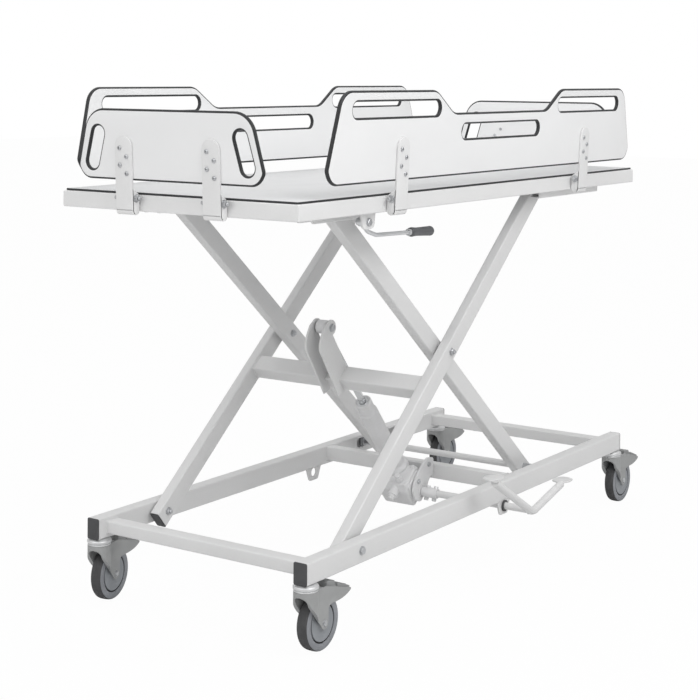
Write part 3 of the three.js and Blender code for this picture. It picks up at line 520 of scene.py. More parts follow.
for name, side in SIDES.items():
    bm = bmesh.new()
    box_tube(bm, -BASE_END + CAP_THICK, BASE_END - CAP_THICK, TUBE_W, TUBE_H,
             place=shift(0, side * TUBE_Y, TUBE_Z))
    tube = piece(f"base_tube_{name}", bm, "base", SHADED_PAINT, nodes=["base_frame"])
    cutter = bmesh.new()
    inner_face = side * (TUBE_Y - TUBE_W / 2)
    slot_z = lower_pivot.z
    plate_xz(cutter, slot_outline(300 + SLOT_HALF, slot_z, 640 - SLOT_HALF, slot_z, SLOT_HALF),
             inner_face - side * 2, inner_face + side * 5, 0.01)
    carve(tube, cutter)
    bm = bmesh.new()
    shaft_lug(bm, LUG_FACES[name])
    piece(f"shaft_lug_{name}", bm, "base", SHADED_PAINT, nodes=["base_frame"])

    bm = bmesh.new()
    lathe_at = shift(lower_pivot.x, side * (TUBE_Y + TUBE_W / 2), lower_pivot.z)
    hex_head(bm, 9.4, 6, lathe_at @ Matrix.Rotation(-side * math.pi / 2, 4, "X"))
    drum_across(bm, 9.5, side * 281.3, side * 285.7, lower_pivot.x, lower_pivot.z)
    nut(bm, 8.8, shift(lower_pivot.x, side * 253, lower_pivot.z) @ Matrix.Rotation(side * math.pi / 2, 4, "X"))
    piece(f"lower_pivot_{name}", bm, "base", BOLT, nodes=[f"lower_pivot_bolt_{name}"])

    for end_name, end in ENDS.items():
        bm = bmesh.new()
        section = shift(0, side * TUBE_Y, TUBE_Z)
        faces = sorted((end * (BASE_END - CAP_THICK + 0.2), end * BASE_END))
        box_bar(bm, *faces, TUBE_W, TUBE_H, 4.2, section, crown=0.9)
        core = sorted((end * (BASE_END - 16), end * (BASE_END - CAP_THICK + 0.4)))
        box_bar(bm, *core, TUBE_W - 6.4, TUBE_H - 6.4, 2.5, section)
        piece(f"end_cap_{end_name}_{name}", bm, "base", CAP, nodes=[f"base_cap_{end_name}_{name}"])

welds = bmesh.new()
for label, (x, width, low_z, top_z) in {
    "foot": (-752, 40, 169, 199), "middle": (160, 30, 168, 208), "head": (742, 40, 169, 199),
}.items():
    bm = bmesh.new()
    mid = (low_z + top_z) / 2
    along_y = shift(x, 0, mid) @ Matrix.Rotation(math.pi / 2, 4, "Z")
    reach = TUBE_Y - TUBE_W / 2 + 1
    box_bar(bm, -reach, reach, width, top_z - low_z, 4, along_y)
    piece(f"cross_tube_{label}", bm, "base", SHADED_PAINT, nodes=["base_frame"])
    for side in SIDES.values():
        rim = [(side * (reach - 1.4), p.x, p.y) for p in round_rect(width + 0.6, top_z - low_z + 0.6, 4)]
        bead(welds, rim, 1.7, along_y)
piece("base_welds", welds, "base", SHADED_PAINT)

bm = bmesh.new()
pipe(bm, 11.5, 9.7, 311, 323, shift(*pedal_axis) @ UPRIGHT)
pipe(bm, 14.5, 9.7, 322.3, 327, shift(*pedal_axis) @ UPRIGHT)
piece("pedal_shaft_bush", bm, "base", CAP, nodes=["pedal_bush"])

# the eared bracket that carries the pump, bolted to the middle cross tube
bm = bmesh.new()
ear = rounded([(144, 178, 4), (144, 226, 8), (112, 231, 14), (90, 217, 12), (60, 194, 14), (45, 172, 14),
               (40, 154, 10), (53, 127, 14), (80, 118, 14), (105, 140, 16), (118, 165, 12), (130, 179, 8)], 8)
for y0, y1 in ((-71, -65), (42, 48)):
    plate_xz(bm, ear, y0, y1, 1.2, [circle(10, 32, pedal_axis.x, pedal_axis.z)])
    pipe(bm, 17, 9.9, min(-y0, -y1) - 2, max(-y0, -y1) + 2, shift(*pedal_axis) @ UPRIGHT)
box_bar(bm, 139, 144.7, 119, 34, 2, shift(0, -11.5, 189))
piece("pump_bracket_plates", bm, "base", CAST, nodes=["pump_bracket"], angle=30)
bm = bmesh.new()
for x, z in ((118, 212), (66, 176)):
    for y, flip in ((-71, 1), (48, -1)):
        hex_head(bm, 6.2, 4.5, shift(x, y, z) @ Matrix.Rotation(flip * math.pi / 2, 4, "X"))
piece("pump_bracket_bolts", bm, "base", BOLT)

# ---- Casters, drawn with the wheel trailing along X from the swivel ----
RING_Z = (143, 157.7)
FORK_OUT, FORK_WALL, HOOD_R, HOOD_TOP, WING_END = 19.6, 2.8, 28, 142, 147
TRAIL, WHEEL_R, BOSS_R = 45, 62.5, 13.5
FOLD = math.sqrt(HOOD_R ** 2 - FORK_OUT ** 2)
# the fork's lower edge: front arch, diagonal, axle boss, step, then the swept wing
fork_low = curve((-HOOD_R, 133), (-22, 131), (-14, 112)) + [Vector((TRAIL - 12.8, 58.3))]
fork_low += [Vector((TRAIL + BOSS_R * math.cos(a), WHEEL_R + BOSS_R * math.sin(a)))
             for a in (math.radians(198 + 162 * k / 18) for k in range(1, 19))]
fork_low += curve((59.5, 92), (62.5, 100), (84, 99)) + curve((84, 99), (126, 99), (WING_END, 112))[1:]
fork_top = [Vector(point) for point in ((-HOOD_R, HOOD_TOP), (54, HOOD_TOP), (100, 129), (WING_END, 116))]


def height_at(line, x):
    for a, b in zip(line, line[1:]):
        if a.x <= x <= b.x:
            return a.y + (b.y - a.y) * (x - a.x) / max(1e-6, b.x - a.x)
    return line[-1].y


def fork_skin(bm, columns, rows, side, inset_by):
    grid = []
    for x in columns:
        at = max(x, inset_by - HOOD_R)
        across = FORK_OUT if x >= FOLD else math.sqrt(max(0.0, HOOD_R ** 2 - x ** 2))
        if inset_by:
            radius = HOOD_R - inset_by
            across = min(FORK_OUT - inset_by, math.sqrt(max(0.0, radius ** 2 - at ** 2))) \
                if at < radius and x < FOLD else FORK_OUT - inset_by
        low_z, top_z = height_at(fork_low, x), height_at(fork_top, x)
        grid.append([bm.verts.new((at, side * across, low_z + (top_z - low_z) * k / rows))
                     for k in range(rows + 1)])
    return grid


def caster_fork(bm):
    columns = [x for x in (-HOOD_R * math.cos(math.pi * k / 44) for k in range(34)) if x < FOLD - 0.4]
    columns += [FOLD, 23, 26, 29] + [point.x for point in fork_low if point.x > 30]
    columns = sorted(set(columns + [54, 100, 108, 116, 124, 132, 140]))
    rows = 6
    for side in SIDES.values():
        outer = fork_skin(bm, columns, rows, side, 0)
        inner = fork_skin(bm, columns, rows, side, FORK_WALL)
        for i in range(len(columns) - 1):
            for k in range(rows):
                bm.faces.new((outer[i][k], outer[i + 1][k], outer[i + 1][k + 1], outer[i][k + 1]))
                bm.faces.new((inner[i][k + 1], inner[i + 1][k + 1], inner[i + 1][k], inner[i][k]))
            for k in (0, rows):
                bm.faces.new((outer[i][k], inner[i][k], inner[i + 1][k], outer[i + 1][k]))
        for k in range(rows):
            for i in (0, len(columns) - 1):
                bm.faces.new((outer[i][k], outer[i][k + 1], inner[i][k + 1], inner[i][k]))
    bmesh.ops.remove_doubles(bm, verts=bm.verts, dist=0.02)
    hood = [Vector((42, -FORK_OUT + 0.6)), Vector((42, FORK_OUT - 0.6))]
    opening = math.acos(FOLD / HOOD_R)
    hood += [Vector(((HOOD_R - 0.5) * math.cos(a), (HOOD_R - 0.5) * math.sin(a)))
             for a in (opening + (2 * math.pi - 2 * opening) * k / 30 for k in range(31))]
    plate(bm, hood, HOOD_TOP - 3, HOOD_TOP + 0.3, 0.8)


def brake_lever(bm, x, z):
    """A rocking lever on a cross pin at x, z, with a raised release toe and a ribbed braking toe."""
    width = FORK_OUT - FORK_WALL - 0.8
    web = rounded([(x - 8, z + 12, 2), (x - 8, z - 1, 3), (x + 12, z - 7, 4), (x + 40, z - 18, 6),
                   (x + 75, z - 13, 2), (x + 32, z + 3, 5), (x + 22, z + 8, 4)], 5)
    plate_xz(bm, web, -width, width, 1.2)
    toe = rounded([(x - 10, z + 9, 2), (x - 7, z + 24, 5), (x + 22, z + 19, 4), (x + 27, z + 6, 3),
                   (x, z + 3, 3)], 5)
    plate_xz(bm, toe, -width + 1, width - 1, 2)
    toe = rounded([(x + 28, z, 2), (x + 32, z + 11, 4), (x + 79, z - 6, 1.5), (x + 79, z - 12, 1.5),
                   (x + 50, z - 11, 5)], 5)
    plate_xz(bm, toe, -width, width, 1.4)
    for k in range(4):
        rib = x + 42 + k * 8.5
        drum_across(bm, 1.1, -width + 3, width - 3, rib, z + 7.6 - (rib - x - 42) * 0.36,
                    edge=0.5, segments=12)
    drum_across(bm, 4.6, -width, width, x, z, segments=24)


def caster(label):
    swivel, roll, brake = (joint_place[f"{kind}_{label}"] for kind in ("swivel", "roll", "brake"))
    trailing = (roll - swivel).xy
    at = shift(*swivel.xy, 0) @ Matrix.Rotation(math.atan2(trailing.y, trailing.x), 4, "Z")
    axle = at @ shift(TRAIL, 0, WHEEL_R) @ UPRIGHT
    bm = bmesh.new()
    bottom, top = RING_Z
    for profile in (
        [(8, bottom + 5, 0), (29.2, bottom + 5, 1.6), (29.2, top - 3.4, 3.2), (22, top, 2.0), (8, top, 0)],
        [(7, bottom - 0.8, 0), (27.6, bottom - 0.8, 1.4), (27.6, bottom + 2.9, 1.4), (7, bottom + 2.9, 0)],
    ):
        lathe(bm, [tuple(p) for p in rounded(profile, 4)], at, 56)
    drum(bm, 25.5, bottom + 1, top - 2, at, 0.5, 48)
    drum(bm, 9, top - 1, TUBE_LOW + 0.2, at, 0.2, 24)
    piece(f"caster_race_{label}", bm, "base", RACE, nodes=[f"swivel_ring_{label}"])

    bm = bmesh.new()
    caster_fork(bm)
    piece(f"caster_housing_{label}", bm, f"caster_{label}", FORK, nodes=[f"caster_fork_{label}"],
          bevel=0.5, place=at)
    bm = bmesh.new()
    for flip in (0, math.pi):
        hex_head(bm, 7.2, 3.2, axle @ Matrix.Rotation(flip, 4, "X") @ shift(0, 0, FORK_OUT)
                 @ Matrix.Rotation(0.35, 4, "Z"))
    drum(bm, 5, -FORK_OUT, FORK_OUT, axle, 0.3, 20)
    piece(f"caster_axle_{label}", bm, f"caster_{label}", BOLT)

    bm = bmesh.new()
    brake_lever(bm, (brake - swivel).xy.length, brake.z)
    piece(f"brake_lever_{label}", bm, f"brake_{label}", PEDAL, nodes=[f"brake_pedal_{label}"],
          place=at)

    half = 14.8
    bm = bmesh.new()
    whole = [(44.8, -half + 2.2), (45.6, -half + 0.7), (47.4, -half), (56.8, -half), (60.0, -half + 1.3),
             (61.4, -half + 3.2), (62.2, -half + 6.3), (62.5, -half + 10.5), (62.5, 0)]
    whole += [(r, -h) for r, h in whole[:-1][::-1]]
    # faces of the side walls take the grey rubber; the tread keeps the painted shade
    for face in lathe(bm, whole, axle, 72):
        middle = axle.inverted() @ face.calc_center_median()
        if math.hypot(middle.x, middle.y) < 60.6 and abs(middle.z) > half - 3.2:
            face.material_index = 1
    piece(f"tyre_{label}", bm, f"wheel_{label}", SHADED_TREAD, WALL, nodes=[f"caster_tyre_{label}"])

    bm = bmesh.new()
    rim = [(5.6, half + 1.5), (12, half + 1.5), (13.5, half - 0.5), (17, half - 2.6), (30, half - 3.0),
           (37.4, half - 1.6), (40.4, half - 0.8), (41.3, half - 1.6), (41.5, half - 6)]
    lathe(bm, [(r, -h) for r, h in rim] + rim[::-1], axle, 72)
    piece(f"wheel_disc_{label}", bm, f"wheel_{label}", WHEEL, nodes=[f"caster_hub_{label}"])
    # ring at the bottom of the groove, in the painted-shade finish
    bm = bmesh.new()
    pipe(bm, 44.7, 41.4, -half + 5, half - 5, axle, 0.3, 72)
    piece(f"wheel_groove_{label}", bm, f"wheel_{label}", GROOVE_SHADE)


for end_name in ENDS:
    for side_name in SIDES:
        caster(f"{end_name}_{side_name}")


# ---- Scissor legs ----
LEG_W, LEG_H = 28, 48


def leg_end_plugs(bm, centre, width, ends):
    for tip in ends:
        end = math.copysign(1, tip)
        faces = sorted((tip - end * 1.6, tip + end * 0.8))
        box_bar(bm, *faces, width, LEG_H, 4.2, shift(0, centre, 0), crown=0.8)
        core = sorted((tip - end * 16, tip - end * 1.4))
        box_bar(bm, *core, width - 5.4, LEG_H - 5.4, 2.5, shift(0, centre, 0))


def leg_pair(kind, inner, outer, place, axle_end, pivot_overhang):
    ends = (-LEG_HALF - pivot_overhang, LEG_HALF + LEG_OVERHANG)
    body, centre, width = f"{kind}_legs", (inner + outer) / 2, outer - inner
    for name, side in SIDES.items():
        bm = bmesh.new()
        box_tube(bm, ends[0] + 1.8, ends[1] - 1.8, width, LEG_H, 2.5, 4, shift(0, side * centre, 0))
        piece(f"{kind}_leg_{name}", bm, body, SHADED_PAINT, nodes=[f"{kind}_leg_frame"], place=place)
        bm = bmesh.new()
        leg_end_plugs(bm, side * centre, width, ends)
        piece(f"{kind}_leg_plugs_{name}", bm, body, CAP, place=place)
        bm = bmesh.new()
        drum_across(bm, 10, side * (outer - 1), side * axle_end, LEG_HALF, 0)
        drum_across(bm, 6, side * (axle_end - 1), side * (axle_end + 13), LEG_HALF, 0)
        if kind == "outer":
            hex_head(bm, 9, 5.5, shift(LEG_HALF, side * inner, 0)
                     @ Matrix.Rotation(side * math.pi / 2, 4, "X"))
        piece(f"{kind}_axle_{name}", bm, body, BOLT, nodes=[f"{kind}_leg_frame"], place=place)


leg_pair("outer", 253, 281, OUTER, 281.9, 31)
leg_pair("inner", 214, 243, INNER, 283.9, LEG_OVERHANG)

CROSS_S, CROSS_L, CROSS_H = -125, 48, 38
bm = bmesh.new()
across = shift(CROSS_S, 0, 0) @ Matrix.Rotation(math.pi / 2, 4, "Z")
box_bar(bm, -254, 254, CROSS_L, CROSS_H, 4, across)
piece("lift_crossbar", bm, "outer_legs", SHADED_PAINT, nodes=["outer_leg_frame"], place=OUTER)
bm = bmesh.new()
for side in SIDES.values():
    rim = [(side * 252.2, p.x, p.y) for p in round_rect(CROSS_L + 0.6, CROSS_H + 0.6, 4)]
    bead(bm, rim, 1.8, across)
piece("crossbar_welds", bm, "outer_legs", SHADED_PAINT, place=OUTER)

PIN_S, PIN_N = -88, 147


def lift_plate_outline():
    s, n = PIN_S, PIN_N
    points = [Vector((s - 19, -20)), Vector((s - 7, n - 19))]
    for k in range(25):
        a = math.radians(-110 + 200 * k / 24)
        points.append(Vector((s + 20 * math.cos(a), n + 20 * math.sin(a))))
    points.append(Vector((s - 12, n + 21.4)))
    points += curve((s - 18, n + 22), (s - 66, n + 8), (s - 71, n - 13))
    points += curve((s - 71, n - 13), (s - 78, n - 90), (s - 87, -12))[1:]
    return points + [Vector((s - 61, -23))]


bm = bmesh.new()
for y0 in (-25, 19):
    plate_xz(bm, lift_plate_outline(), y0, y0 + 6, 1.4, [circle(6.5, 24, PIN_S, PIN_N)])
piece("lift_plates", bm, "outer_legs", SHADED_PAINT, nodes=["outer_leg_frame"], place=OUTER, angle=30)

bm = bmesh.new()
drum_across(bm, 6, -31, 31, PIN_S, PIN_N)
for side in SIDES.values():
    hex_head(bm, 9.5, 6, shift(PIN_S, side * 25.4, PIN_N) @ Matrix.Rotation(-side * math.pi / 2, 4, "X"))
piece("lift_pin_bolt", bm, "outer_legs", BOLT, nodes=["lift_pin"], place=OUTER)

bm = bmesh.new()
drum_across(bm, 9, -215, 215, LEG_HALF, 0, edge=1)
for side in SIDES.values():
    bead(bm, [(LEG_HALF + p.x, side * 213.2, p.y) for p in circle(9.6, 36)], 1.6)
piece("inner_leg_brace", bm, "inner_legs", SHADED_PAINT, nodes=["inner_leg_frame"], place=INNER)

for name, side in SIDES.items():
    bm = bmesh.new()
    nut(bm, 8.8, shift(0, side * 281.4, 0) @ Matrix.Rotation(-side * math.pi / 2, 4, "X"))
    drum_across(bm, 6, side * 206, side * 285, 0, 0)
    pipe(bm, 11, 6.2, *sorted((-side * 243.4, -side * 252.6)), UPRIGHT)
    nut(bm, 8.8, shift(0, side * 213.6, 0) @ Matrix.Rotation(side * math.pi / 2, 4, "X"))
    piece(f"centre_pivot_{name}", bm, "outer_legs", BOLT, nodes=[f"centre_pivot_bolt_{name}"], place=OUTER)
    for kind, place, start in (("upper", OUTER, 282.5), ("lower", INNER, 284)):
        bm = bmesh.new()
        profile = rounded([(6.5, 0, 0.5), (13.6, 0, 0.8), (13.6, 5.5, 0.3), (17, 5.5, 0.8), (17, 13, 1),
                           (6.5, 13, 0.5)], 2)
        spin = shift(LEG_HALF, side * start, 0) @ Matrix.Rotation(-side * math.pi / 2, 4, "X")
        lathe(bm, [tuple(p) for p in profile], spin, 40)
        piece(f"{kind}_slot_roller_{name}", bm, f"{kind}_roller_{name}", BOLT,
              nodes=[f"{kind}_roller_{name}"], place=place)

# ---- Pump, cylinder and piston ----
AXIS = 25
bm = bmesh.new()
shaft_hole = [circle(9.9, 32)]
plate_xz(bm, rounded([(-40, -22, 12), (30, -24, 14), (40, 0, 10), (40, 52, 8), (26, 60, 8), (-30, 60, 10),
                      (-42, 40, 12)], 6), -58, 34, 5, shaft_hole, steps=4)
plate_xz(bm, rounded([(-36, -14, 10), (34, -16, 10), (34, 50, 8), (-30, 50, 8)], 5), -62, 38, 3, shaft_hole)
column = rounded([(0, 50, 0), (34, 50, 3), (34, 66, 5), (26, 74, 6), (26, 282, 5), (22.5, 287, 3),
                  (22.5, 322, 2.5), (17, 322, 1), (15, 319, 1), (0, 319, 0)], 4)
lathe(bm, [tuple(p) for p in column], shift(AXIS, 0, 0), 56)
groove = rounded([(20, 306, 0), (22.9, 306, 0.4), (22.9, 308.4, 0.4), (20, 308.4, 0)], 2)
lathe(bm, [tuple(p) for p in groove], shift(AXIS, 0, 0), 56)
sweep(bm, fillet_path([(AXIS + 24, 0, 254), (AXIS + 31, 0, 246), (AXIS + 31, 0, 48), (AXIS + 20, 0, 40)], 9),
      circle(3.2, 16), (0, 1, 0))
piece("pump_casting", bm, "pump", CAST, nodes=["pump_cylinder"], place=PUMP, angle=32)

bm = bmesh.new()
facing_foot = Matrix.Rotation(-math.pi / 2, 4, "Y")
drum(bm, 14, 0, 30, shift(-28, -20, 40) @ facing_foot, 2.5)
drum(bm, 10.5, 28, 36, shift(-28, -20, 40) @ facing_foot, 1.5)
drum(bm, 9, 50, 76, shift(-20, -34, 0), 1.5)
drum(bm, 7, 55, 70, shift(-20, 14, 0), 1.2)
drum(bm, 14, 34, 42, shift(4, 0, 30) @ ACROSS, 2)
drum(bm, 12, 56, 63.5, shift(6, 0, 24) @ UPRIGHT, 2)
piece("pump_bosses", bm, "pump", CAST, place=PUMP)
bm = bmesh.new()
for x, y in ((-30, -50), (30, -50), (-30, 28), (36, 28)):
    hex_head(bm, 5.4, 4.5, shift(x, y, 59.5))
hex_head(bm, 8.5, 8, shift(-20, -34, 76))
hex_head(bm, 6.5, 7, shift(-20, 14, 70))
hex_head(bm, 9, 6, shift(-64, -20, 40) @ facing_foot)
piece("pump_plugs", bm, "pump", CAST, place=PUMP)

bm = bmesh.new()
pipe(bm, 16.4, 9.3, 316, 321, shift(AXIS, 0, 0), 0.8, 40)
piece("gland_wiper", bm, "pump", ZINC, place=PUMP)

EYE = 605.9
bm = bmesh.new()
rod = rounded([(0, 286, 0), (9, 286, 0.6), (9, EYE - 26, 0.6), (0, EYE - 26, 0)], 2)
lathe(bm, [tuple(p) for p in rod], shift(AXIS, 0, 0), 40)
piece("piston_shaft", bm, "piston", CHROME, nodes=["piston_rod"], place=PUMP)
bm = bmesh.new()
pipe(bm, 17.5, 12.6, -14, 14, shift(AXIS, 0, EYE) @ UPRIGHT, 1.2, 48)
neck = rounded([(0, EYE - 34, 0), (11, EYE - 34, 1), (11, EYE - 20, 2), (12, EYE - 14.5, 1), (0, EYE - 14.5, 0)], 3)
lathe(bm, [tuple(p) for p in neck], shift(AXIS, 0, 0), 32)
piece("rod_eye", bm, "piston", CAST, nodes=["piston_rod"], place=PUMP)

# ---- Foot rocker: one round rod bent into a V, welded to the cross shaft, with two flattened pads ----
ROCK_Y = -405
x0, z0 = pedal_axis.x, pedal_axis.z
bm = bmesh.new()
drum_across(bm, 9.3, 52, ROCK_Y, x0, z0, edge=1)
bend = [Vector((-114, ROCK_Y, 257)), Vector((x0, ROCK_Y, z0 - 4)), Vector((246, ROCK_Y, 181))]
sweep(bm, fillet_path(bend, 46, 14), circle(10, 28), (0, 1, 0))
collar = [(x0 + p.x, ROCK_Y + 9.5, z0 + p.y) for p in circle(9.8, 32)]
bead(bm, collar, 1.8)
piece("foot_rocker_bars", bm, "foot_rocker", SHADED_PAINT, nodes=["foot_pedal"])
bm = bmesh.new()
pad_outline = rounded([(-32, -9, 8), (-8, -25, 22), (24, -22, 16), (32, -4, 10), (30, 14, 12), (6, 25, 24),
                       (-24, 20, 16)], 8)
for centre, tip in ((Vector((-98, -390, 264)), bend[0]), (Vector((270, -397, 186)), bend[2])):
    plate(bm, pad_outline, -2, 2, 1.6, place=shift(*centre), steps=3)
    bead(bm, [(tip.x + 8.5 * p.x, tip.y + 8.5 * p.y, tip.z + 4.5) for p in circle(1, 24)], 1.8)
piece("foot_rocker_pads", bm, "foot_rocker", SHADED_PAINT)
bm = bmesh.new()
pipe(bm, 13.5, 9.2, 74, 120, shift(x0, 0, z0) @ UPRIGHT, 1.4)
clamps = [shift(x0 + 7, -y, z0 - 2) @ Matrix.Rotation(0.35, 4, "Y") for y in (84, 108)]
for clamp in clamps:
    drum(bm, 6, -16, 6, clamp, 1)
piece("shaft_sleeve", bm, "foot_rocker", CAST)
bm = bmesh.new()
for clamp in clamps:
    hex_head(bm, 6, 5.5, clamp @ shift(0, 0, -16) @ Matrix.Rotation(math.pi, 4, "X"))
    drum(bm, 4.4, 12, 18, clamp, 1.5, 20)
    hex_head(bm, 6, 5, clamp @ shift(0, 0, 13))
piece("sleeve_bolts", bm, "foot_rocker", RACE)

# ---- Table ----
FOOT_END, HEAD_END, HALF_W, FRAME_LOW, FRAME_TOP, FRAME_TUBE = -868, 832, 342.5, 954, 992, 30
table_mid_x = (FOOT_END + HEAD_END) / 2
frame_mid_z = (FRAME_LOW + FRAME_TOP) / 2

bm = bmesh.new()
corners = [(FOOT_END, -HALF_W), (HEAD_END, -HALF_W), (HEAD_END, HALF_W), (FOOT_END, HALF_W)]
section = round_rect(FRAME_TUBE, FRAME_TOP - FRAME_LOW, 3.5)
rings = []
for x, y in corners:
    inward = Vector((-math.copysign(1, x - table_mid_x), -math.copysign(1, y), 0))
    middle = Vector((x, y, frame_mid_z)) + inward * FRAME_TUBE / 2
    rings.append([middle + inward * p.x + Vector((0, 0, p.y)) for p in section])
loft(bm, rings, wrap=True)
piece("table_ring", bm, "table", PAINT, nodes=["table_frame"], bevel=1.2)

bm = bmesh.new()
for x in (-675, -455, 100, 700):
    along_y = shift(x, 0, frame_mid_z) @ Matrix.Rotation(math.pi / 2, 4, "Z")
    reach = HALF_W - FRAME_TUBE + 1
    box_bar(bm, -reach, reach, 30, FRAME_TOP - FRAME_LOW - 8, 3.5, along_y)
    for side in SIDES.values():
        rim = [(side * (reach - 1.3), p.x, p.y) for p in round_rect(30.5, FRAME_TOP - FRAME_LOW - 7.5, 3.5)]
        bead(bm, rim, 1.6, along_y)
piece("table_cross_members", bm, "table", PAINT, nodes=["table_frame"])

CHANNEL = (290, 650, 284.5, 313, 21)
for name, side in SIDES.items():
    x0c, x1c, y_in, y_out, half = CHANNEL
    bm = bmesh.new()
    box_tube(bm, x0c, x1c, y_out - y_in, half * 2, 3, 3.6, shift(0, side * (y_in + y_out) / 2, upper_z))
    channel = piece(f"roller_channel_{name}", bm, "table", PAINT, nodes=["table_frame"])
    cutter = bmesh.new()
    plate_xz(cutter, slot_outline(x0c + 15 + SLOT_HALF, upper_z, x1c - 20 - SLOT_HALF, upper_z, SLOT_HALF),
             side * (y_in - 2), side * (y_in + 5), 0.01)
    carve(channel, cutter)
    bm = bmesh.new()
    for y0, y1 in ((205, 211), (246, 252)):
        lug = rounded([(-690, 932, 10), (-440, 932, 10), (-440, 987, 2), (-690, 987, 2)], 5)
        plate_xz(bm, lug, side * y0, side * y1, 1.1, [circle(6.5, 24, lower_pivot.x, upper_z)])
    piece(f"pivot_lugs_{name}", bm, "table", PAINT, nodes=["table_frame"])
    bm = bmesh.new()
    hex_head(bm, 10.5, 6, shift(lower_pivot.x, side * 252.2, upper_z)
             @ Matrix.Rotation(-side * math.pi / 2, 4, "X"))
    drum_across(bm, 6, side * 198, side * 256, lower_pivot.x, upper_z)
    hex_head(bm, 10.5, 6, shift(lower_pivot.x, side * 204.8, upper_z)
             @ Matrix.Rotation(side * math.pi / 2, 4, "X"))
    piece(f"upper_pivot_{name}", bm, "table", BOLT, nodes=[f"upper_pivot_bolt_{name}"])

board_low, board_high = node_box("table_board")
bm = bmesh.new()
board_mid = (board_low + board_high) / 2
plate(bm, round_rect(board_high.x - board_low.x, board_high.y - board_low.y, 5, 6),
      board_low.z - board_mid.z, board_high.z - board_mid.z, 1.6, place=shift(*board_mid), steps=3,
      rim_index=1)
piece("table_board_panel", bm, "table", SHADED_BOARD, BOARD_CORE, nodes=["table_board"])

# release lever under the table's near edge
LEVER = joint_place["lever_pull"]
lx, ly, lz = LEVER
bm = bmesh.new()
plate_xz(bm, rounded([(lx - 24, lz - 16, 14), (lx + 24, lz - 16, 14), (lx + 30, FRAME_LOW + 10, 2),
                      (lx - 30, FRAME_LOW + 10, 2)], 8), -319, -313, 1.1, [circle(5.4, 20, lx, lz)])
piece("lever_ear", bm, "table", PAINT, nodes=["table_frame"])
bm = bmesh.new()
grip_start = Vector((lx + 206, ly, lz - 39.5))
grip_end = Vector((lx + 308, ly, lz - 43.7))
sweep(bm, fillet_path([(lx, ly, lz), (lx + 22, ly, lz - 24), (lx + 60, ly, lz - 35), grip_start + Vector((20, 0, -0.8))],
                      30, 10), circle(5, 24), (0, 1, 0))
drum_across(bm, 11, ly - 8, ly + 8, lx, lz, edge=2)
drum_across(bm, 5, -323, ly, lx, lz)
piece("lever_rod", bm, "release_lever", ZINC, nodes=["hand_lever"])
bm = bmesh.new()
hex_head(bm, 9, 5, shift(lx, -319.6, lz) @ UPRIGHT)
hex_head(bm, 9, 5, shift(lx, ly + 8, lz) @ ACROSS)
piece("lever_bolt", bm, "release_lever", BOLT)
bm = bmesh.new()
length = (grip_end - grip_start).length
handle = rounded([(0, 0, 0), (10, 0, 2), (11.6, 8, 3), (10.2, 30, 20), (11.4, 78, 30), (12, length - 8, 5),
                  (8, length, 4), (0, length, 0)], 6)
aim = (grip_end - grip_start).to_track_quat("Z", "Y").to_matrix().to_4x4()
lathe(bm, [tuple(p) for p in handle], Matrix.Translation(grip_start) @ aim, 40)
piece("lever_handle", bm, "release_lever", GRIP, nodes=["lever_grip"])
bm = bmesh.new()
pipe(bm, 8.5, 4.9, -7, 0.5, Matrix.Translation(grip_start) @ aim, 0.6, 32)
piece("lever_ferrule", bm, "release_lever", ZINC)

# ---- Fold-down rails ----
STRAP_FACE, STRAP_T, STRAP_TOP, STRAP_HALF = 12.5, 5, 170, 25
PANEL_OUT, PANEL_IN = -7.2, 2.8
LOCK_Z = 27
HOOK_TURN = math.radians(55)
RAILS = {
    "side_right": (0, 470.5), "side_left": (180, 470.5), "end_foot": (-90, 127), "end_head": (90, 127),
}


def side_outline():
    bottom, tall, dip = 68.5, 277, 221
    right = [(752, bottom, 42), (770, 102, 18), (723, tall, 48), (325, tall, 60), (240, dip, 60)]
    left = [(-x, y, r) for x, y, r in right[::-1]]
    return rounded(right + left, 12)


def end_outline():
    right = [(252, 68, 36), (270, 97, 18), (236, 231, 58)]
    return rounded(right + [(-x, y, r) for x, y, r in right[::-1]], 12)


panels = {
    "side": (side_outline(), [slot_outline(325, 234, 663, 234, 17.6), slot_outline(-663, 234, -325, 234, 17.6),
                              slot_outline(-183, 175, 183, 175, 17.6)]),
    "end": (end_outline(), [slot_outline(225, 109, 207, 173, 17.6), slot_outline(-207, 173, -225, 109, 17.6)]),
}


def strap_shape(bm):
    """A bent flat strap: rounded top, straight back, hooked round the hinge pin below."""
    outline = [Vector((-STRAP_HALF, -1)), Vector((STRAP_HALF, -1))]
    outline += [Vector((STRAP_HALF * math.cos(a), STRAP_TOP - STRAP_HALF + STRAP_HALF * math.sin(a)))
                for a in (math.pi * k / 24 for k in range(25))]
    plate_xz(bm, outline, -STRAP_FACE, -STRAP_FACE + STRAP_T, 1.0)
    radius = STRAP_FACE - STRAP_T / 2
    hook = [(0, -radius * math.cos(a), -radius * math.sin(a)) for a in
            (HOOK_TURN * k / 8 for k in range(9))]
    sweep(bm, [(0, -radius, 2)] + hook, round_rect(STRAP_HALF * 2, STRAP_T, 1), (1, 0, 0))
    cheek = [Vector((11.3, 0)), Vector((11.3, 32)), Vector((8, 37)), Vector((-11.4, 50)), Vector((-11.4, 0))]
    cheek += [Vector((11.3 * math.cos(a), 11.3 * math.sin(a)))
              for a in (math.pi + math.pi * k / 14 for k in range(1, 14))]
    to_side = Matrix(((0, 0, 1, 0), (1, 0, 0, 0), (0, 1, 0, 0), (0, 0, 0, 1)))
    for x in (-STRAP_HALF, STRAP_HALF - STRAP_T):
        plate(bm, cheek, x, x + STRAP_T, 0.9, place=to_side)


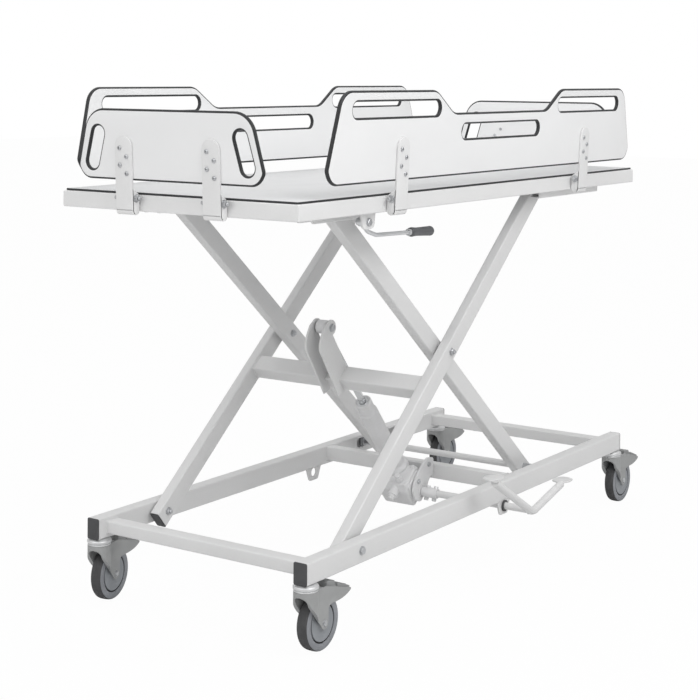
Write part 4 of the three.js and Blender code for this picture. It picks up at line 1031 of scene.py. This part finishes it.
for rail_name, (turn, offset) in RAILS.items():
    hinge = joint_place[f"fold_{rail_name}"]
    heading = Matrix.Translation(hinge) @ Matrix.Rotation(math.radians(turn), 4, "Z")
    lean = heading @ Matrix.Rotation(math.radians(3), 4, "X")
    body = f"rail_{rail_name}"
    outline, holes = panels[rail_name.split("_")[0]]
    bm = bmesh.new()
    plate_xz(bm, outline, PANEL_OUT, PANEL_IN, 4.8, holes, steps=5, rim_index=1)
    piece(f"{rail_name}_board", bm, body, LAMINATE, CORE, nodes=[f"{rail_name}_panel"], place=lean)
    for i, end in enumerate((-1, 1)):
        place = lean @ shift(end * offset, 0, 0)
        bm = bmesh.new()
        strap_shape(bm)
        piece(f"{rail_name}_bracket_{i + 1}", bm, body, PAINT, nodes=[f"{rail_name}_strap_{i + 1}"],
              place=place)
        bm = bmesh.new()
        for x, height in ((-10, 142), (10, 122.5), (-10, 103), (10, 84)):
            dome_screw(bm, 5.6, 3.6, shift(x, -STRAP_FACE, height) @ UPRIGHT)
            drum(bm, 4.5, -0.2, 2.6, shift(x, PANEL_IN, height) @ ACROSS, 0.6, 20)
        for side in (-1, 1):
            out = Matrix.Rotation(side * math.pi / 2, 4, "Y")
            pipe(bm, 9.5, 5, 0, 1.6, shift(side * STRAP_HALF, 0, LOCK_Z) @ out, 0.3, 32)
            hex_head(bm, 7.6, 6, shift(side * (STRAP_HALF + 1.6), 0, LOCK_Z) @ out)
            drum(bm, 4.6, 7, 13, shift(side * STRAP_HALF, 0, LOCK_Z) @ out, 2, 24)
        piece(f"{rail_name}_screws_{i + 1}", bm, body, BOLT, place=place)

        bm = bmesh.new()
        arm_place = heading @ shift(end * offset, 0, 0)
        rise = FRAME_TOP - hinge.z - 2
        arm = [Vector((13.8, rise)), Vector((-6.5, rise)), Vector((-6.5, 0))]
        arm += [Vector((6.5 * math.cos(a), 6.5 * math.sin(a)))
                for a in (math.pi + (math.pi + 0.6) * k / 14 for k in range(1, 15))]
        arm += [Vector((4, 15)), Vector((13.8, 15))]
        to_side = Matrix(((0, 0, 1, 0), (1, 0, 0, 0), (0, 1, 0, 0), (0, 0, 0, 1)))
        plate(bm, arm, -18.5, 18.5, 0.8, place=arm_place @ to_side)
        piece(f"{rail_name}_hinge_arm_{i + 1}", bm, "table", PAINT, nodes=["table_frame"])
        bm = bmesh.new()
        drum(bm, 5, -24, 24, arm_place @ Matrix.Rotation(math.pi / 2, 4, "Y"), 0.8, 24)
        piece(f"{rail_name}_hinge_pin_{i + 1}", bm, "table", BOLT, nodes=["table_frame"])

# ---- Floor, light and camera ----
bm = bmesh.new()
bmesh.ops.create_grid(bm, x_segments=1, y_segments=1, size=20)
floor_mesh = bpy.data.meshes.new("floor")
bm.to_mesh(floor_mesh)
bm.free()
floor = bpy.data.objects.new("floor", floor_mesh)
floor.location.z = -0.001
bpy.context.scene.collection.objects.link(floor)
mat = bpy.data.materials.new("pale_floor")
mat.use_nodes = True
nodes, links = mat.node_tree.nodes, mat.node_tree.links
matte = nodes["Principled BSDF"]
matte.inputs["Base Color"].default_value = (0.72, 0.72, 0.72, 1)
matte.inputs["Roughness"].default_value = 0.9
glow = nodes.new("ShaderNodeEmission")
glow.inputs["Strength"].default_value = 1.0
blend = nodes.new("ShaderNodeMixShader")
ray = nodes.new("ShaderNodeLightPath")
share = nodes.new("ShaderNodeMath")
share.operation = "MULTIPLY"
share.inputs[1].default_value = 0.97
links.new(ray.outputs["Is Camera Ray"], share.inputs[0])
links.new(share.outputs["Value"], blend.inputs["Fac"])
links.new(matte.outputs["BSDF"], blend.inputs[1])
links.new(glow.outputs["Emission"], blend.inputs[2])
links.new(blend.outputs["Shader"], nodes["Material Output"].inputs["Surface"])
floor_mesh.materials.append(mat)

world = bpy.data.worlds.new("studio")
bpy.context.scene.world = world
world.use_nodes = True
nodes, links = world.node_tree.nodes, world.node_tree.links
soft = nodes["Background"]
seen = nodes.new("ShaderNodeBackground")
seen.inputs["Color"].default_value = (1, 1, 1, 1)
seen.inputs["Strength"].default_value = 1.0
where = nodes.new("ShaderNodeTexCoord")
split = nodes.new("ShaderNodeSeparateXYZ")
ramp = nodes.new("ShaderNodeMapRange")
for key, value in zip(("From Min", "From Max", "To Min", "To Max"), (-0.3, 1.0, 0.25, 1.0)):
    ramp.inputs[key].default_value = value
links.new(where.outputs["Generated"], split.inputs["Vector"])
links.new(split.outputs["Z"], ramp.inputs["Value"])
links.new(ramp.outputs["Result"], soft.inputs["Strength"])
soft.inputs["Color"].default_value = (1, 1, 1, 1)
ray = nodes.new("ShaderNodeLightPath")
mixer = nodes.new("ShaderNodeMixShader")
links.new(ray.outputs["Is Camera Ray"], mixer.inputs["Fac"])
links.new(soft.outputs["Background"], mixer.inputs[1])
links.new(seen.outputs["Background"], mixer.inputs[2])
links.new(mixer.outputs["Shader"], nodes["World Output"].inputs["Surface"])


def soft_light(name, location, target, size, power):
    data = bpy.data.lights.new(name, "AREA")
    data.size = size
    data.energy = power
    light = bpy.data.objects.new(name, data)
    light.location = location
    light.rotation_euler = (Vector(target) - Vector(location)).to_track_quat("-Z", "Y").to_euler()
    bpy.context.scene.collection.objects.link(light)


soft_light("key", (-0.9, -2.7, 3.1), (0, 0, 0.8), 2.2, 50)
soft_light("fill", (-4.0, 0.6, 2.2), (0, 0, 0.6), 2.4, 24)
soft_light("top", (0.2, 0.4, 3.8), (0, 0, 0.6), 2.5, 14)

YAW, ROLL = math.radians(55.83), math.radians(0.41)
forward = Vector((math.sin(YAW), math.cos(YAW), 0))
level = Vector((math.cos(YAW), -math.sin(YAW), 0))
up = Vector((0, 0, 1))
camera_x = level * math.cos(ROLL) + up * math.sin(ROLL)
camera_y = up * math.cos(ROLL) - level * math.sin(ROLL)
camera = bpy.data.objects.new("camera", bpy.data.cameras.new("camera"))
bpy.context.scene.collection.objects.link(camera)
pose = Matrix((camera_x, camera_y, -forward)).transposed().to_4x4()
pose.translation = ORIGIN + Vector((-3.685, -2.382, 1.273))
camera.matrix_world = pose
camera.data.lens = 1636.5 * 36 / 700
camera.data.clip_end = 60
# The lens is shifted only while the camera stands at this viewpoint, so views from elsewhere stay centred.
# The curve reads the camera's x and gives the shift; it is zero except within a few millimetres of here.
LENS_SHIFT = -277 / 700
shift_curve = camera.data.driver_add("shift_y")
shift_curve.driver.type = "SUM"
stand = shift_curve.driver.variables.new()
stand.type = "TRANSFORMS"
stand.targets[0].id = camera
stand.targets[0].transform_type = "LOC_X"
stand.targets[0].transform_space = "WORLD_SPACE"
for modifier in list(shift_curve.modifiers):
    shift_curve.modifiers.remove(modifier)
# A new driver's own two keys go first. These are placed by hand, because insert() and update() merge
# keys that are closer than 10 mm.
shift_curve.keyframe_points.clear()
steps = ((-0.002, 0.0), (-0.001, LENS_SHIFT), (0.001, LENS_SHIFT), (0.002, 0.0))
shift_curve.keyframe_points.add(len(steps))
for key, (away, value) in zip(shift_curve.keyframe_points, steps):
    key.co = (pose.translation.x + away, value)
    key.interpolation = "LINEAR"
bpy.context.scene.camera = camera
bpy.context.scene.view_settings.view_transform = "Standard"
